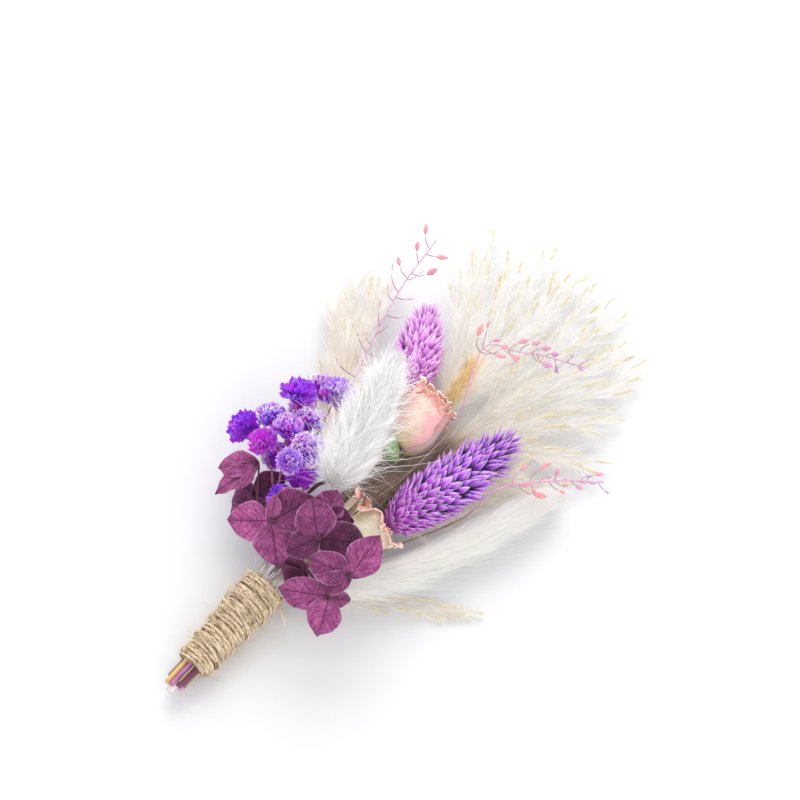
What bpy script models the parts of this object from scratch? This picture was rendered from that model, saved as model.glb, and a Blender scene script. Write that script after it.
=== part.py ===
# Dried flower boutonniere, lying on its side.
# Stems run along +Y from the cut ends to the plume tips, +Z is up and the surface is z = 0.
# The origin is on the flat rest face under the middle of the twine wrap.
# Shapes are worked out in millimetres and each finished mesh is scaled to metres.
import math
import random

import bmesh
import bpy
from mathutils import Matrix, Vector

MM = 0.001

# Twine wrap and the bundle of stems inside it
WRAP_LENGTH = 30.0
WRAP_RADIUS_LOW = 4.3
WRAP_RADIUS_TOP = 5.9
WRAP_TURNS = 15
WRAP_RIDGE = 0.3
WRAP_FLAT = 0.35
BORE_RADIUS_LOW = 3.5
BORE_RADIUS_TOP = 4.95
BUNDLE_SPREAD = 0.45
SLOTS_PER_RING = 7
THICK_RING = 1.98
THIN_RING = 2.72
CORE_STEM_RADIUS = 0.95
THICK_STEM_RADIUS = 0.66
THIN_STEM_RADIUS = 0.3
PEDICEL_RADIUS = 0.42

# How far a sepal's root is sunk in its button
SEPAL_ROOT = 0.3

# Clearances and wall sizes
SEAT_GAP = 0.3
BLADE_THICKNESS = 0.7
FUR_CREST = 1.4
SEED = 7

# Sepal angles are counted from this level direction, and turn about each floret's facing
LEVEL_RIGHT = Vector((math.cos(math.radians(40)), math.sin(math.radians(40)), 0.0))
UP = Vector((0.0, 0.0, 1.0))


# Scene, materials and meshes

for old in list(bpy.data.objects):
    bpy.data.objects.remove(old, do_unlink=True)

part = bpy.data.collections.new("boutonniere")
bpy.context.scene.collection.children.link(part)


def material(name, colour, roughness):
    made = bpy.data.materials.new(name)
    made.use_nodes = True
    shader = made.node_tree.nodes["Principled BSDF"]
    shader.inputs["Base Color"].default_value = (*colour, 1.0)
    shader.inputs["Roughness"].default_value = roughness
    shader.inputs["Metallic"].default_value = 0.0
    return made


def mesh_object(name, bm, collection):
    bmesh.ops.recalc_face_normals(bm, faces=bm.faces[:])
    if bm.calc_volume(signed=True) < 0.0:
        bmesh.ops.reverse_faces(bm, faces=bm.faces[:])
    mesh = bpy.data.meshes.new(name)
    bm.to_mesh(mesh)
    bm.free()
    made = bpy.data.objects.new(name, mesh)
    collection.objects.link(made)
    return made


def finish(made, finish_material, smooth=True):
    made.data.materials.clear()
    made.data.materials.append(finish_material)
    made.data.transform(Matrix.Scale(MM, 4))
    if smooth:
        made.data.shade_smooth()
        made.data.set_sharp_from_angle(angle=math.radians(50))
    return made


def add_piece(name, bm, finish_material, smooth=True):
    return finish(mesh_object(name, bm, part), finish_material, smooth)


def keep_outer_body(mesh):
    """Keeps the largest shell of a mesh: loose scraps go and sealed hollows are filled."""
    bm = bmesh.new()
    bm.from_mesh(mesh)
    left = set(bm.faces)
    shells = []
    while left:
        found = [left.pop()]
        for face in found:
            near = {f for e in face.edges for f in e.link_faces if f in left}
            left -= near
            found.extend(near)
        shells.append(found)
    shells.sort(key=len)
    for shell in shells[:-1]:
        bmesh.ops.delete(bm, geom=shell, context="FACES")
    bm.to_mesh(mesh)
    bm.free()


def fuse(name, body, repeats, finish_material, solver="EXACT", smooth=True):
    """One union of a body with the collection of pieces that grow from it."""
    made = mesh_object(name, body, part)
    gathered = bpy.data.collections.new(name + "_repeats")
    bpy.context.scene.collection.children.link(gathered)
    for number, bm in enumerate(repeats):
        mesh_object(f"{name}_repeat_{number}", bm, gathered)
    union = made.modifiers.new("fuse", "BOOLEAN")
    union.operation = "UNION"
    union.operand_type = "COLLECTION"
    union.collection = gathered
    union.solver = solver
    graph = bpy.context.evaluated_depsgraph_get()
    fused = bpy.data.meshes.new_from_object(made.evaluated_get(graph))
    made.modifiers.clear()
    made.data = fused
    keep_outer_body(fused)
    for used in list(gathered.objects):
        bpy.data.objects.remove(used, do_unlink=True)
    bpy.data.collections.remove(gathered)
    return finish(made, finish_material, smooth)


# Smooth paths

def smooth_path(points, count):
    """Evenly spaced points on a curve through the given ones."""
    knots = [Vector(p) for p in points]
    if len(knots) == 2:
        return [knots[0].lerp(knots[1], i / (count - 1)) for i in range(count)]
    times = [0.0]
    for a, b in zip(knots, knots[1:]):
        times.append(times[-1] + (b - a).length)
    slopes = []
    for i in range(len(knots)):
        low, high = max(i - 1, 0), min(i + 1, len(knots) - 1)
        slopes.append((knots[high] - knots[low]) / (times[high] - times[low]))
    dense = []
    for i in range(len(knots) - 1):
        span = times[i + 1] - times[i]
        for k in range(16):
            s = k / 16
            h00, h10 = 2 * s**3 - 3 * s**2 + 1, s**3 - 2 * s**2 + s
            h01, h11 = -2 * s**3 + 3 * s**2, s**3 - s**2
            start = knots[i] * h00 + slopes[i] * (h10 * span)
            end = knots[i + 1] * h01 + slopes[i + 1] * (h11 * span)
            dense.append(start + end)
    dense.append(knots[-1])
    lengths = [0.0]
    for a, b in zip(dense, dense[1:]):
        lengths.append(lengths[-1] + (b - a).length)
    even = []
    k = 0
    for i in range(count):
        goal = lengths[-1] * i / (count - 1)
        while k < len(dense) - 2 and lengths[k + 1] < goal:
            k += 1
        even.append(dense[k].lerp(dense[k + 1], (goal - lengths[k]) / (lengths[k + 1] - lengths[k])))
    return even


def frame_at(path, t):
    """Point, direction, side and top of a path at t from 0 to 1."""
    place = min(max(t, 0.0), 1.0) * (len(path) - 1)
    i = min(int(place), len(path) - 2)
    point = path[i].lerp(path[i + 1], place - i)
    ahead = (path[min(i + 2, len(path) - 1)] - path[max(i - 1, 0)]).normalized()
    side = ahead.cross(UP).normalized()
    return point, ahead, side, side.cross(ahead)


def tube(points, radius, count=0, resolution=1):
    """A round stem along a path, with closed ends."""
    path = smooth_path(points, count or 2 * len(points) + 1)
    data = bpy.data.curves.new("tube", "CURVE")
    data.dimensions = "3D"
    data.bevel_depth = radius
    data.bevel_resolution = resolution
    data.use_fill_caps = True
    line = data.splines.new("POLY")
    line.points.add(len(path) - 1)
    for i, p in enumerate(path):
        line.points[i].co = (*p, 1.0)
    holder = bpy.data.objects.new("tube", data)
    part.objects.link(holder)
    graph = bpy.context.evaluated_depsgraph_get()
    mesh = bpy.data.meshes.new_from_object(holder.evaluated_get(graph))
    bpy.data.objects.remove(holder, do_unlink=True)
    bm = bmesh.new()
    bm.from_mesh(mesh)
    bmesh.ops.remove_doubles(bm, verts=bm.verts[:], dist=0.0001)
    return bm


# Repeats raised from a spindle

def uneven(turn, t, phase):
    """A repeatable number from -1 to 1 for each place on a head; whole waves round it keep the seam closed."""
    return (math.sin(3.0 * turn + 61.7 * t + phase) + math.cos(2.0 * turn - 37.9 * t + phase)) / 2.0


def spindle(path, radius_at, segments, rings, tip_at=None, flatten=1.0, floor=None, draw=None, jitter=0.0,
            crest=0.0):
    """A turned head along a path, each face drawn out to a leaning point, which the crest lifts above."""
    bm = bmesh.new()
    bmesh.ops.create_uvsphere(bm, u_segments=segments, v_segments=rings, radius=1.0)
    points = set()
    if tip_at:
        points = set(bmesh.ops.poke(bm, faces=bm.faces[:])["verts"])
    phase = draw.uniform(0.0, 2.0 * math.pi) if draw else 0.0
    for v in bm.verts:
        t = 1.0 - v.co.angle(UP) / math.pi
        round_axis = math.atan2(v.co.y, v.co.x)
        turn = round_axis + t * rings * math.pi / segments
        centre, ahead, side, top = frame_at(path, t)
        out = side * math.cos(turn) + top * (math.sin(turn) * flatten)
        if v in points:
            lift, lean = tip_at(t)
            wobble = 1.0 + jitter * uneven(round_axis, t, phase)
            rise = 1.0 + crest * max(out.z, 0.0)
            v.co = centre + out * (radius_at(t) + lift * wobble * rise) + ahead * (lean * wobble)
        else:
            v.co = centre + out * radius_at(t)
        if floor is not None:
            v.co.z = max(v.co.z, floor)
    return bm


def egg(radius, blunt=0.75):
    """Radius along a head: fullest near its base and blunt at both ends."""
    def at(t):
        return radius * math.sin(math.pi * t**blunt) ** 0.6 if 0.0 < t < 1.0 else 0.0
    return at


# Thin blades

def blade(length, width, along, across, outline, shape):
    """A thin leaf from its root along +X, bent by shape and triangulated alike on both faces."""
    bm = bmesh.new()
    bmesh.ops.create_grid(bm, x_segments=along, y_segments=across, size=1.0)
    bmesh.ops.triangulate(bm, faces=bm.faces[:])
    for v in bm.verts:
        t, s = (v.co.x + 1) / 2, v.co.y
        v.co = shape(t, s, length * t, width / 2 * s * outline(t))
    for f in bm.faces:
        f.normal_update()
    bmesh.ops.solidify(bm, geom=bm.faces[:], thickness=BLADE_THICKNESS)
    return bm


def placed(bm, origin, ahead, up):
    """Turns a piece's +X to ahead and its +Z near up, and moves it to origin."""
    x = Vector(ahead).normalized()
    y = Vector(up).cross(x).normalized()
    turn = Matrix((x, y, x.cross(y))).transposed().to_4x4()
    bmesh.ops.transform(bm, matrix=Matrix.Translation(Vector(origin)) @ turn, verts=bm.verts[:])
    return bm


# Stem slots in the twine: a core stem, a ring of thick stems and a ring of thin ones between them

def wrap_axis_height(y):
    s = (y + WRAP_LENGTH / 2) / WRAP_LENGTH
    return WRAP_RADIUS_LOW + (WRAP_RADIUS_TOP - WRAP_RADIUS_LOW) * s - WRAP_FLAT


def slot_point(ring, number, y):
    s = min(max((y + WRAP_LENGTH / 2) / WRAP_LENGTH, 0.0), 1.0)
    spread = 1.0 + BUNDLE_SPREAD * s
    step = 2 * math.pi / SLOTS_PER_RING
    turn = math.pi / 2 + number * step + (step / 2 if ring == THIN_RING else 0.0)
    height = wrap_axis_height(min(max(y, -WRAP_LENGTH / 2), WRAP_LENGTH / 2))
    return Vector((ring * spread * math.cos(turn), y, height + ring * spread * math.sin(turn)))


def slot_route(ring, number, cut, beyond):
    """From the cut end through the twine and on through the points beyond it."""
    half = WRAP_LENGTH / 2
    inside = [slot_point(ring, number, y) for y in (-half - cut, -half / 3, half)]
    return inside + [Vector(p) for p in beyond]


# Twine wrap: a sleeve with one ridge for each turn, flat underneath

def build_wrap():
    half = WRAP_LENGTH / 2
    profile = []
    for i in range(2 * WRAP_TURNS + 1):
        s = 1.0 - i / (2 * WRAP_TURNS)
        radius = WRAP_RADIUS_LOW + (WRAP_RADIUS_TOP - WRAP_RADIUS_LOW) * s
        profile.append((radius - (WRAP_RIDGE if i % 2 == 0 else 0.0), s * WRAP_LENGTH - half))
    profile.append((BORE_RADIUS_LOW, -half))
    profile.append((BORE_RADIUS_TOP, half))
    bm = bmesh.new()
    ring = [bm.verts.new((r, 0.0, z)) for r, z in profile]
    for a, b in zip(ring, ring[1:] + ring[:1]):
        bm.edges.new((a, b))
    mesh = bpy.data.meshes.new("wrap_profile")
    bm.to_mesh(mesh)
    bm.free()
    holder = bpy.data.objects.new("wrap_profile", mesh)
    part.objects.link(holder)
    screw = holder.modifiers.new("turn", "SCREW")
    screw.steps = screw.render_steps = 12
    screw.use_merge_vertices = True
    screw.merge_threshold = 0.0001
    graph = bpy.context.evaluated_depsgraph_get()
    turned = bpy.data.meshes.new_from_object(holder.evaluated_get(graph))
    bpy.data.objects.remove(holder, do_unlink=True)
    bm = bmesh.new()
    bm.from_mesh(turned)
    rise = math.atan2(WRAP_RADIUS_TOP - WRAP_RADIUS_LOW, WRAP_LENGTH)
    lay = Matrix.Rotation(rise, 4, "X") @ Matrix.Rotation(-math.pi / 2, 4, "X")
    lift = Matrix.Translation((0.0, 0.0, wrap_axis_height(0.0)))
    bmesh.ops.transform(bm, matrix=lift @ lay, verts=bm.verts[:])
    cut = bmesh.ops.bisect_plane(bm, geom=bm.verts[:] + bm.edges[:] + bm.faces[:], plane_co=(0, 0, 0),
                                 plane_no=(0, 0, -1), clear_outer=True)
    rim = [e for e in cut["geom_cut"] if isinstance(e, bmesh.types.BMEdge)]
    bmesh.ops.contextual_create(bm, geom=rim)
    add_piece("twine_wrap", bm, material("jute", (0.55, 0.41, 0.24), 0.95), smooth=False)


# Roses: petals in layers round a closed bud, on a stem with a hip and reflexed green sepals

def rose_petal(turn, span, height, radius, curl, wave):
    def shape(t, s, along, across):
        swell = math.sin(math.pi * min(0.14 + 0.5 * t, 0.62)) ** 0.9
        lip = curl * max(t - 0.55, 0.0) ** 1.5 * 3.0
        angle = turn + s * span / 2 * (0.6 + 0.4 * math.sin(math.pi * min(t + 0.2, 0.75)))
        out = radius * swell + lip + 0.55 * s + 0.35 + wave * t * t * math.sin(4.0 * s + turn)
        return Vector((height * t * (1.0 - 0.2 * s * s * t), out * math.cos(angle), out * math.sin(angle)))
    return blade(height, 1.0, 4, 3, lambda t: 1.0, shape)


def build_rose_bloom(name, base, tip, layers, core_radius, core_length, finish_material):
    ahead = Vector(tip) - Vector(base)
    core = spindle(smooth_path([(0, 0, 0), (core_length, 0, 0)], 6), egg(core_radius), 8, 6)
    petals = []
    for count, start, span, height, radius, curl, wave in layers:
        for i in range(count):
            turn = math.radians(start) + i * 2 * math.pi / count
            petals.append(rose_petal(turn, math.radians(span), height, radius, curl, wave))
    for bm in [core] + petals:
        placed(bm, base, ahead, UP)
    fuse(name, core, petals, finish_material, solver="MANIFOLD")


def leaf_outline(t):
    return max(math.sin(math.pi * min(t * 0.92 + 0.06, 1.0)), 0.08) ** 0.8


def calyx_sepal(length, width, droop, curl):
    def shape(t, s, along, across):
        bend = droop + curl * t
        return Vector((along * math.cos(bend), across, -along * math.sin(bend) + 0.2 * abs(s)))
    return blade(length, width, 4, 2, leaf_outline, shape)


def build_rose_stem(name, route, stem_radius, base, tip, hip_radius, sepals, finish_material):
    ahead = (Vector(tip) - Vector(base)).normalized()
    seat = Vector(base) - ahead * (SEAT_GAP + 2 * hip_radius)
    hip = spindle(smooth_path([seat, Vector(base) - ahead * SEAT_GAP], 5), egg(hip_radius), 8, 6)
    side = ahead.cross(UP).normalized()
    top = side.cross(ahead)
    pieces = [hip]
    for turn, length, width, droop, curl in sepals:
        angle = math.radians(turn)
        out = side * math.cos(angle) + top * math.sin(angle)
        root = seat + ahead * (hip_radius * 1.35) + out * (hip_radius * 0.55)
        pieces.append(placed(calyx_sepal(length, width, math.radians(droop), curl), root, out, ahead))
    stem = tube(route + [seat + ahead * hip_radius * 0.8], stem_radius)
    fuse(name, stem, pieces, finish_material)


# Hydrangea: four broad sepals round a small button, on the pedicels of one umbel

def hydrangea_sepal(length, width, lift, cup):
    def outline(t):
        return max(math.sin(math.pi * min(t ** 0.85, 1.0)), 0.0) ** 0.7 + 0.1 * (1.0 - t)

    def shape(t, s, along, across):
        bend = lift * t * t
        return Vector((along, across, cup * across * across + bend + 0.35 * math.sin(3.0 * t + s)))
    return blade(length, width, 4, 2, outline, shape)


def build_floret(name, centre, facing, sepals, finish_material):
    facing = Vector(facing).normalized()
    right = (LEVEL_RIGHT - facing * facing.dot(LEVEL_RIGHT)).normalized()
    above = facing.cross(right)
    button = bmesh.new()
    bmesh.ops.create_icosphere(button, subdivisions=1, radius=1.0, matrix=Matrix.Translation(Vector(centre)))
    blades = []
    for turn, length, width, lift in sepals:
        angle = math.radians(turn)
        out = right * math.cos(angle) + above * math.sin(angle)
        sepal = hydrangea_sepal(length, width, lift, 0.03)
        blades.append(placed(sepal, Vector(centre) - out * SEPAL_ROOT, out, facing))
    fuse(name, button, blades, finish_material, solver="MANIFOLD")


# Pepper grass: pods on thin pedicels all round a thin stem

def club(root, tip, stalk, pod):
    """A pedicel that swells into a small seed pod."""
    path = smooth_path([root, (Vector(root) + Vector(tip)) / 2 + Vector((0, 0, 0.5)), tip], 5)

    def radius(t):
        if t <= 0.0 or t >= 1.0:
            return 0.0
        return stalk if t < 0.7 else pod
    return spindle(path, radius, 4, 5)


def build_pepper_grass(name, route, start, pods, length, draw, finish_material):
    path = smooth_path(route, 14)
    arms = []
    for i in range(pods):
        t = start + (0.97 - start) * i / (pods - 1)
        point, ahead, side, top = frame_at(path, t)
        turn = i * 2.4 + draw.uniform(-0.3, 0.3)
        out = side * math.cos(turn) + top * (0.6 * math.sin(turn))
        reach = length * (1.15 - 0.6 * (t - start) / (1.0 - start))
        arms.append(club(point - out * 0.1, point + out * reach * 0.8 + ahead * reach * 0.6, 0.24, 0.75))
    fuse(name, tube(route, THIN_STEM_RADIUS, 18, resolution=0), arms, finish_material, solver="MANIFOLD")


# Plumes: slim spindles with long fine blades leaning to the tip

def plume_branch(route, core, reach, lean, segments, rings, draw):
    def tip_at(t):
        grown = min(0.2 + 1.4 * t, 1.0)
        return reach * grown * (1.0 - 0.55 * t * t), lean * (1.0 - 0.3 * t)
    return spindle(smooth_path(route, 12), egg(core), segments, rings, tip_at, 0.6, 0.0, draw, 0.18)


# Grass heads: pointed scales or fur tufts in a spiral round a head, each on its own stem

def build_phalaris(name, base, tip, radius, sides, rows, slot, beyond, colours, draw):
    base, tip = Vector(base), Vector(tip)
    path = smooth_path([base, tip], 8)
    head = spindle(path, egg(radius), sides, rows, lambda t: (1.3, 2.6), draw=draw, jitter=0.15)
    add_piece("phalaris_head_" + name, head, colours[0], smooth=False)
    seat = base - (tip - base).normalized() * (SEAT_GAP + 0.1)
    route = slot_route(THICK_RING, slot, 6.0, beyond + [seat])
    add_piece("phalaris_stem_" + name, tube(route, THICK_STEM_RADIUS), colours[1])


def build_heads(draw):
    violet = material("phalaris_violet", (0.36, 0.10, 0.62), 0.7)
    orchid = material("phalaris_orchid", (0.62, 0.22, 0.66), 0.7)
    stalk = material("phalaris_stalk", (0.42, 0.20, 0.45), 0.7)
    build_phalaris("right", (14.6, 47.2, 9.8), (24.2, 88.4, 12.6), 6.9, 13, 15, 5,
                   [(7.0, 25.0, 4.4), (12.3, 38.0, 4.4)], (violet, stalk), draw)
    build_phalaris("back", (-6.6, 82.8, 9.0), (-20.5, 107.0, 9.0), 5.4, 12, 12, 3,
                   [(-3.0, 50.0, 5.5)], (orchid, stalk), draw)

    white = material("bunny_tail_fur", (0.86, 0.84, 0.80), 0.95)
    straw = material("bunny_tail_stalk", (0.66, 0.60, 0.42), 0.8)
    base, tip = Vector((1.4, 42.3, 26.0)), Vector((-9.8, 81.8, 28.0))
    fur = spindle(smooth_path([base, tip], 8), egg(5.4), 12, 15, lambda t: (1.8, 4.0), draw=draw, jitter=0.2,
                  crest=FUR_CREST)
    add_piece("bunny_tail_head", fur, white, smooth=False)
    seat = base - Vector((0.3, 0.5, 0.1))
    route = slot_route(THICK_RING, 1, 7.0, [(-4.0, 24.0, 10.0), (-5.0, 33.0, 16.0), (-3.0, 39.0, 22.5), seat])
    add_piece("bunny_tail_stem", tube(route, THICK_STEM_RADIUS), straw)


def build_roses():
    green = material("rose_sepal", (0.25, 0.36, 0.14), 0.8)
    blush = material("rose_blush", (0.80, 0.55, 0.48), 0.8)
    cream = material("rose_cream", (0.82, 0.72, 0.58), 0.8)
    base, tip = (2.2, 64.6, 13.6), (0.4, 85.9, 15.6)
    # Petals in a layer, first angle, span, height, radius, curl of the lip and wave
    layers = [(3, 40, 135, 19.0, 6.0, -1.6, 0.25), (4, 10, 115, 17.4, 7.3, -1.0, 0.35)]
    build_rose_bloom("rose_bloom_upper", base, tip, layers, 4.6, 18.0, blush)
    # Angle, length, width, droop and curl of each sepal
    sepals = [(20, 6.0, 2.4, 20, 0.5), (92, 6.5, 2.6, 10, 0.7), (165, 8.0, 3.4, -20, 1.6),
              (285, 6.0, 2.4, 22, 0.5)]
    route = slot_route(0.0, 0, 8.0, [(1.0, 40.0, 8.5)])
    build_rose_stem("rose_stem_upper", route, CORE_STEM_RADIUS, base, tip, 2.3, sepals, green)
    base, tip = (9.2, 30.4, 15.0), (12.6, 43.3, 17.0)
    layers = [(3, 30, 130, 13.0, 5.4, 0.8, 0.5), (4, 0, 125, 13.5, 6.9, 1.5, 0.6)]
    build_rose_bloom("rose_bloom_lower", base, tip, layers, 4.4, 12.0, cream)
    sepals = [(30, 4.0, 2.0, 30, 0.6), (150, 4.0, 2.0, 30, 0.6), (270, 4.0, 2.0, 30, 0.6)]
    route = slot_route(THICK_RING, 6, 6.0, [(5.0, 22.0, 9.0)])
    build_rose_stem("rose_stem_lower", route, THICK_STEM_RADIUS, base, tip, 1.8, sepals, green)


def build_hydrangea():
    plum = material("hydrangea_plum", (0.27, 0.08, 0.22), 0.75)
    stalk = material("hydrangea_stalk", (0.50, 0.28, 0.42), 0.8)
    # Centre, facing, then angle, length, width and lift of each sepal
    florets = {
        "a": ((-3.6, 22.1, 27.0), (0.32, -0.38, 0.87),
              [(179, 11.5, 10.0, -0.8), (278, 12.3, 10.0, -2.4), (27, 13.0, 11.5, 0.5), (80, 7.0, 6.0, 3.0)]),
        "b": ((9.1, 25.8, 28.0), (0.35, -0.30, 0.89),
              [(99, 10.7, 10.5, 1.0), (352, 13.0, 10.5, -2.0), (204, 9.0, 8.0, -2.0)]),
        "c": ((21.9, 23.2, 27.0), (0.30, -0.40, 0.87),
              [(155, 11.8, 8.5, 0.5), (54, 13.2, 9.0, 2.0), (200, 9.0, 6.0, -1.5)]),
        "d": ((19.3, 18.0, 20.0), (0.30, -0.50, 0.80),
              [(171, 13.5, 8.5, 1.2), (254, 11.3, 9.0, -1.4), (346, 5.5, 5.0, -2.0)]),
        "e": ((-20.4, 34.8, 19.5), (-0.2, -0.35, 0.9),
              [(160, 12.0, 8.0, -1.0), (209, 13.4, 8.4, 1.2), (248, 8.6, 4.5, 3.0)]),
        "f": ((-16.7, 29.4, 11.5), (-0.2, -0.5, 0.85),
              [(197, 9.6, 8.5, -1.0), (150, 8.0, 7.0, 0.5), (55, 7.0, 6.5, -1.0), (290, 6.5, 6.0, -1.5)]),
        "g": ((5.4, 31.2, 25.0), (0.3, -0.3, 0.9),
              [(63, 9.0, 8.5, -0.5), (357, 8.6, 8.0, 0.3), (130, 7.0, 6.0, -1.0)]),
        "h": ((10.4, 19.1, 18.0), (0.1, -0.7, 0.7),
              [(145, 9.0, 7.0, 0.5), (190, 8.0, 6.5, -1.0)]),
    }
    hub = Vector((3.0, 24.0, 14.5))
    pedicels = []
    for letter, (centre, facing, sepals) in florets.items():
        build_floret("hydrangea_floret_" + letter, centre, facing, sepals, plum)
        end = Vector(centre) - Vector(facing).normalized() * (1.0 + SEAT_GAP)
        if letter == "e":
            route = [(0.8, 19.5, 11.6), (-6.0, 21.5, 14.5), (-13.0, 26.5, 17.0), end]
        elif letter == "f":
            route = [(0.6, 19.0, 11.2), (-6.0, 20.5, 11.0), (-11.0, 25.5, 7.0), end - Vector((0, 0, 1.2)), end]
        else:
            route = [hub - Vector((0, 0, 0.4)), hub.lerp(end, 0.5) + Vector((0, -0.8, 0.5)), end]
        pedicels.append(tube(route, PEDICEL_RADIUS, 5, resolution=0))
    main = tube(slot_route(THICK_RING, 0, 7.0, [(1.0, 20.0, 11.5), hub]), THICK_STEM_RADIUS)
    fuse("hydrangea_stem", main, pedicels, stalk)


# Gypsophila: small ruffled heads on forking stems

def build_gypsophila(draw):
    violet = material("gypsophila_violet", (0.20, 0.03, 0.55), 0.8)
    stalk = material("gypsophila_stalk", (0.40, 0.16, 0.26), 0.8)
    fork, left = Vector((-9.5, 29.0, 14.5)), Vector((-17.5, 37.0, 15.5))
    middle, right = Vector((-15.0, 38.0, 17.5)), Vector((-13.0, 45.0, 16.5))
    # Centre and radius of each head, and the joint its stem grows from
    heads = [
        ((-32.4, 42.7, 14.5), 3.8, left), ((-22.0, 39.1, 23.9), 3.1, left),
        ((-23.8, 55.6, 25.2), 3.7, middle), ((-25.8, 46.8, 22.4), 3.3, middle),
        ((-19.2, 45.6, 25.3), 3.5, middle), ((-18.7, 53.0, 20.0), 3.5, right),
        ((-27.4, 66.8, 9.2), 3.4, right), ((-18.9, 65.3, 17.4), 3.7, right),
        ((-11.2, 44.8, 24.2), 3.7, right), ((-20.3, 42.0, 13.6), 3.3, middle),
        ((-10.0, 39.1, 17.7), 3.3, fork), ((-9.1, 31.5, 19.3), 2.9, fork),
        ((-25.1, 57.5, 14.2), 3.0, right), ((-11.0, 46.6, 12.4), 3.0, right),
        ((-11.7, 38.4, 26.2), 2.6, middle), ((-19.6, 49.1, 12.8), 2.6, right),
    ]
    runs = ([fork, left], [fork, middle], [middle, right])
    arms = [tube(run, PEDICEL_RADIUS, 4, resolution=0) for run in runs]
    for number, (centre, radius, joint) in enumerate(heads, 1):
        centre = Vector(centre)
        ahead = (centre - joint).normalized()
        path = smooth_path([centre - ahead * radius, centre + ahead * radius * 0.9], 5)
        ruffle = egg(radius * 0.8, blunt=0.9)
        head = spindle(path, ruffle, 6, 5, lambda t: (radius * 0.28, 0.3), draw=draw, jitter=0.35)
        add_piece(f"gypsophila_head_{number:02d}", head, violet, smooth=False)
        arms.append(tube([joint, centre - ahead * (radius + SEAT_GAP)], THIN_STEM_RADIUS, 3, resolution=0))
    main = tube(slot_route(THICK_RING, 2, 6.0, [(-4.5, 21.5, 8.0), fork]), THICK_STEM_RADIUS)
    fuse("gypsophila_stems", main, arms, stalk)


def build_grasses(draw):
    pink = material("pepper_grass_pink", (0.62, 0.30, 0.46), 0.8)
    # Slot in the twine, where the pods start along the stem, their length, and the route
    sprigs = {
        "back": (1, 0.5, 5.0, [(-12, 45, 7.0), (-17.5, 66, 12), (-20.5, 75, 14.5), (-29, 103, 14),
                               (-32.8, 124, 12)]),
        "middle": (6, 0.7, 4.5, [(2, 25, 10), (3.5, 40, 9), (8.5, 56, 11), (10.8, 68, 15.3), (10.8, 80, 16.3),
                                 (7.0, 89, 17.5), (2.2, 101.5, 18), (3.7, 105, 18), (14, 110.5, 16),
                                 (25.9, 117, 13)]),
        "right": (5, 0.73, 4.5, [(13, 35, 5), (19.0, 48, 3.2), (27.5, 63, 6.5), (30.8, 72.4, 13), (40, 83, 13),
                                 (50.5, 92.9, 11)]),
    }
    for name, (slot, start, length, beyond) in sprigs.items():
        route = slot_route(THIN_RING, slot, 5.0, beyond)
        build_pepper_grass("pepper_grass_" + name, route, start, 11, length, draw, pink)


def build_plumes(draw):
    cream = material("plume_cream", (0.78, 0.70, 0.56), 0.95)
    silver = material("plume_white", (0.88, 0.86, 0.82), 0.95)
    route = slot_route(THIN_RING, 3, 5.0, [(-0.5, 40, 2.6), (1.0, 66, 2.2), (1.5, 86, 3.0)])
    left = [(1.4, 82, 2.9), (0, 100, 4.3), (-10, 118, 5), (-23, 133, 4)]
    right = [(1.45, 84, 2.95), (4, 102, 4.5), (0, 122, 5), (-6, 144, 4)]
    branches = [plume_branch(path, 1.2, 8.0, 10.0, 5, 12, draw) for path in (left, right)]
    fuse("plume_back", tube(route, THIN_STEM_RADIUS), branches, cream)

    route = slot_route(THICK_RING, 4, 5.0, [(5.0, 40, 2.6), (9.0, 66, 2.4), (9.8, 84, 3.2)])
    left = [(8.6, 62, 2.6), (9.7, 82, 3.1), (15.5, 104, 4.5), (18, 123, 5), (16, 143, 4)]
    right = [(9.6, 80, 3.0), (19, 97, 4.5), (28, 114, 5), (32, 130, 4)]
    low = [(16.5, 92.8, 4.2), (26, 101, 4.6), (37, 106, 4)]
    branches = [plume_branch(left, 1.2, 8.0, 10.0, 5, 12, draw), plume_branch(right, 1.1, 7.0, 8.0, 5, 10, draw),
                plume_branch(low, 1.0, 5.5, 7.0, 4, 5, draw)]
    fuse("plume_side", tube(route, THICK_STEM_RADIUS), branches, cream)

    route = slot_route(THIN_RING, 2, 5.0, [(-8, 32, 4.2), (-19.5, 64, 4.0)])
    branch = plume_branch([(-18.7, 62, 4.0), (-33, 86, 5), (-45, 105, 4)], 1.2, 9.0, 11.0, 6, 13, draw)
    fuse("plume_left", tube(route, THIN_STEM_RADIUS), [branch], cream)

    # The white plume, with a thin wisp of cream spikelets along its right
    route = slot_route(THIN_RING, 4, 5.0, [(8, 20, 4.6)])
    band = [(6.5, 18.5, 4.3), (18.5, 31, 6), (29, 48.5, 6), (36.5, 67, 6), (40, 81, 5.5)]
    wisp = [(7, 19, 4.3), (17, 25, 2.4), (31, 35, 1.8), (44, 43.5, 1.6)]
    branches = [plume_branch(band, 1.7, 7.8, 8.0, 7, 18, draw), tube(wisp, THIN_STEM_RADIUS, 8, resolution=0)]
    wisp_path = smooth_path(wisp, 12)
    for i in range(7):
        point, ahead, side, top = frame_at(wisp_path, 0.4 + 0.1 * i)
        out = side * (1.6 if i % 2 else -1.6)
        branches.append(club(point, point + out + ahead * 4.5 + top * 0.6, 0.3, 0.6))
    fuse("plume_white", tube(route, THIN_STEM_RADIUS), branches, silver, solver="MANIFOLD")


def build():
    draw = random.Random(SEED)
    build_wrap()
    build_roses()
    build_heads(draw)
    build_hydrangea()
    build_gypsophila(draw)
    build_grasses(draw)
    build_plumes(draw)


build()
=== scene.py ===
import math

import bmesh
import bpy
import numpy as np
from mathutils import Matrix, Vector


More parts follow.
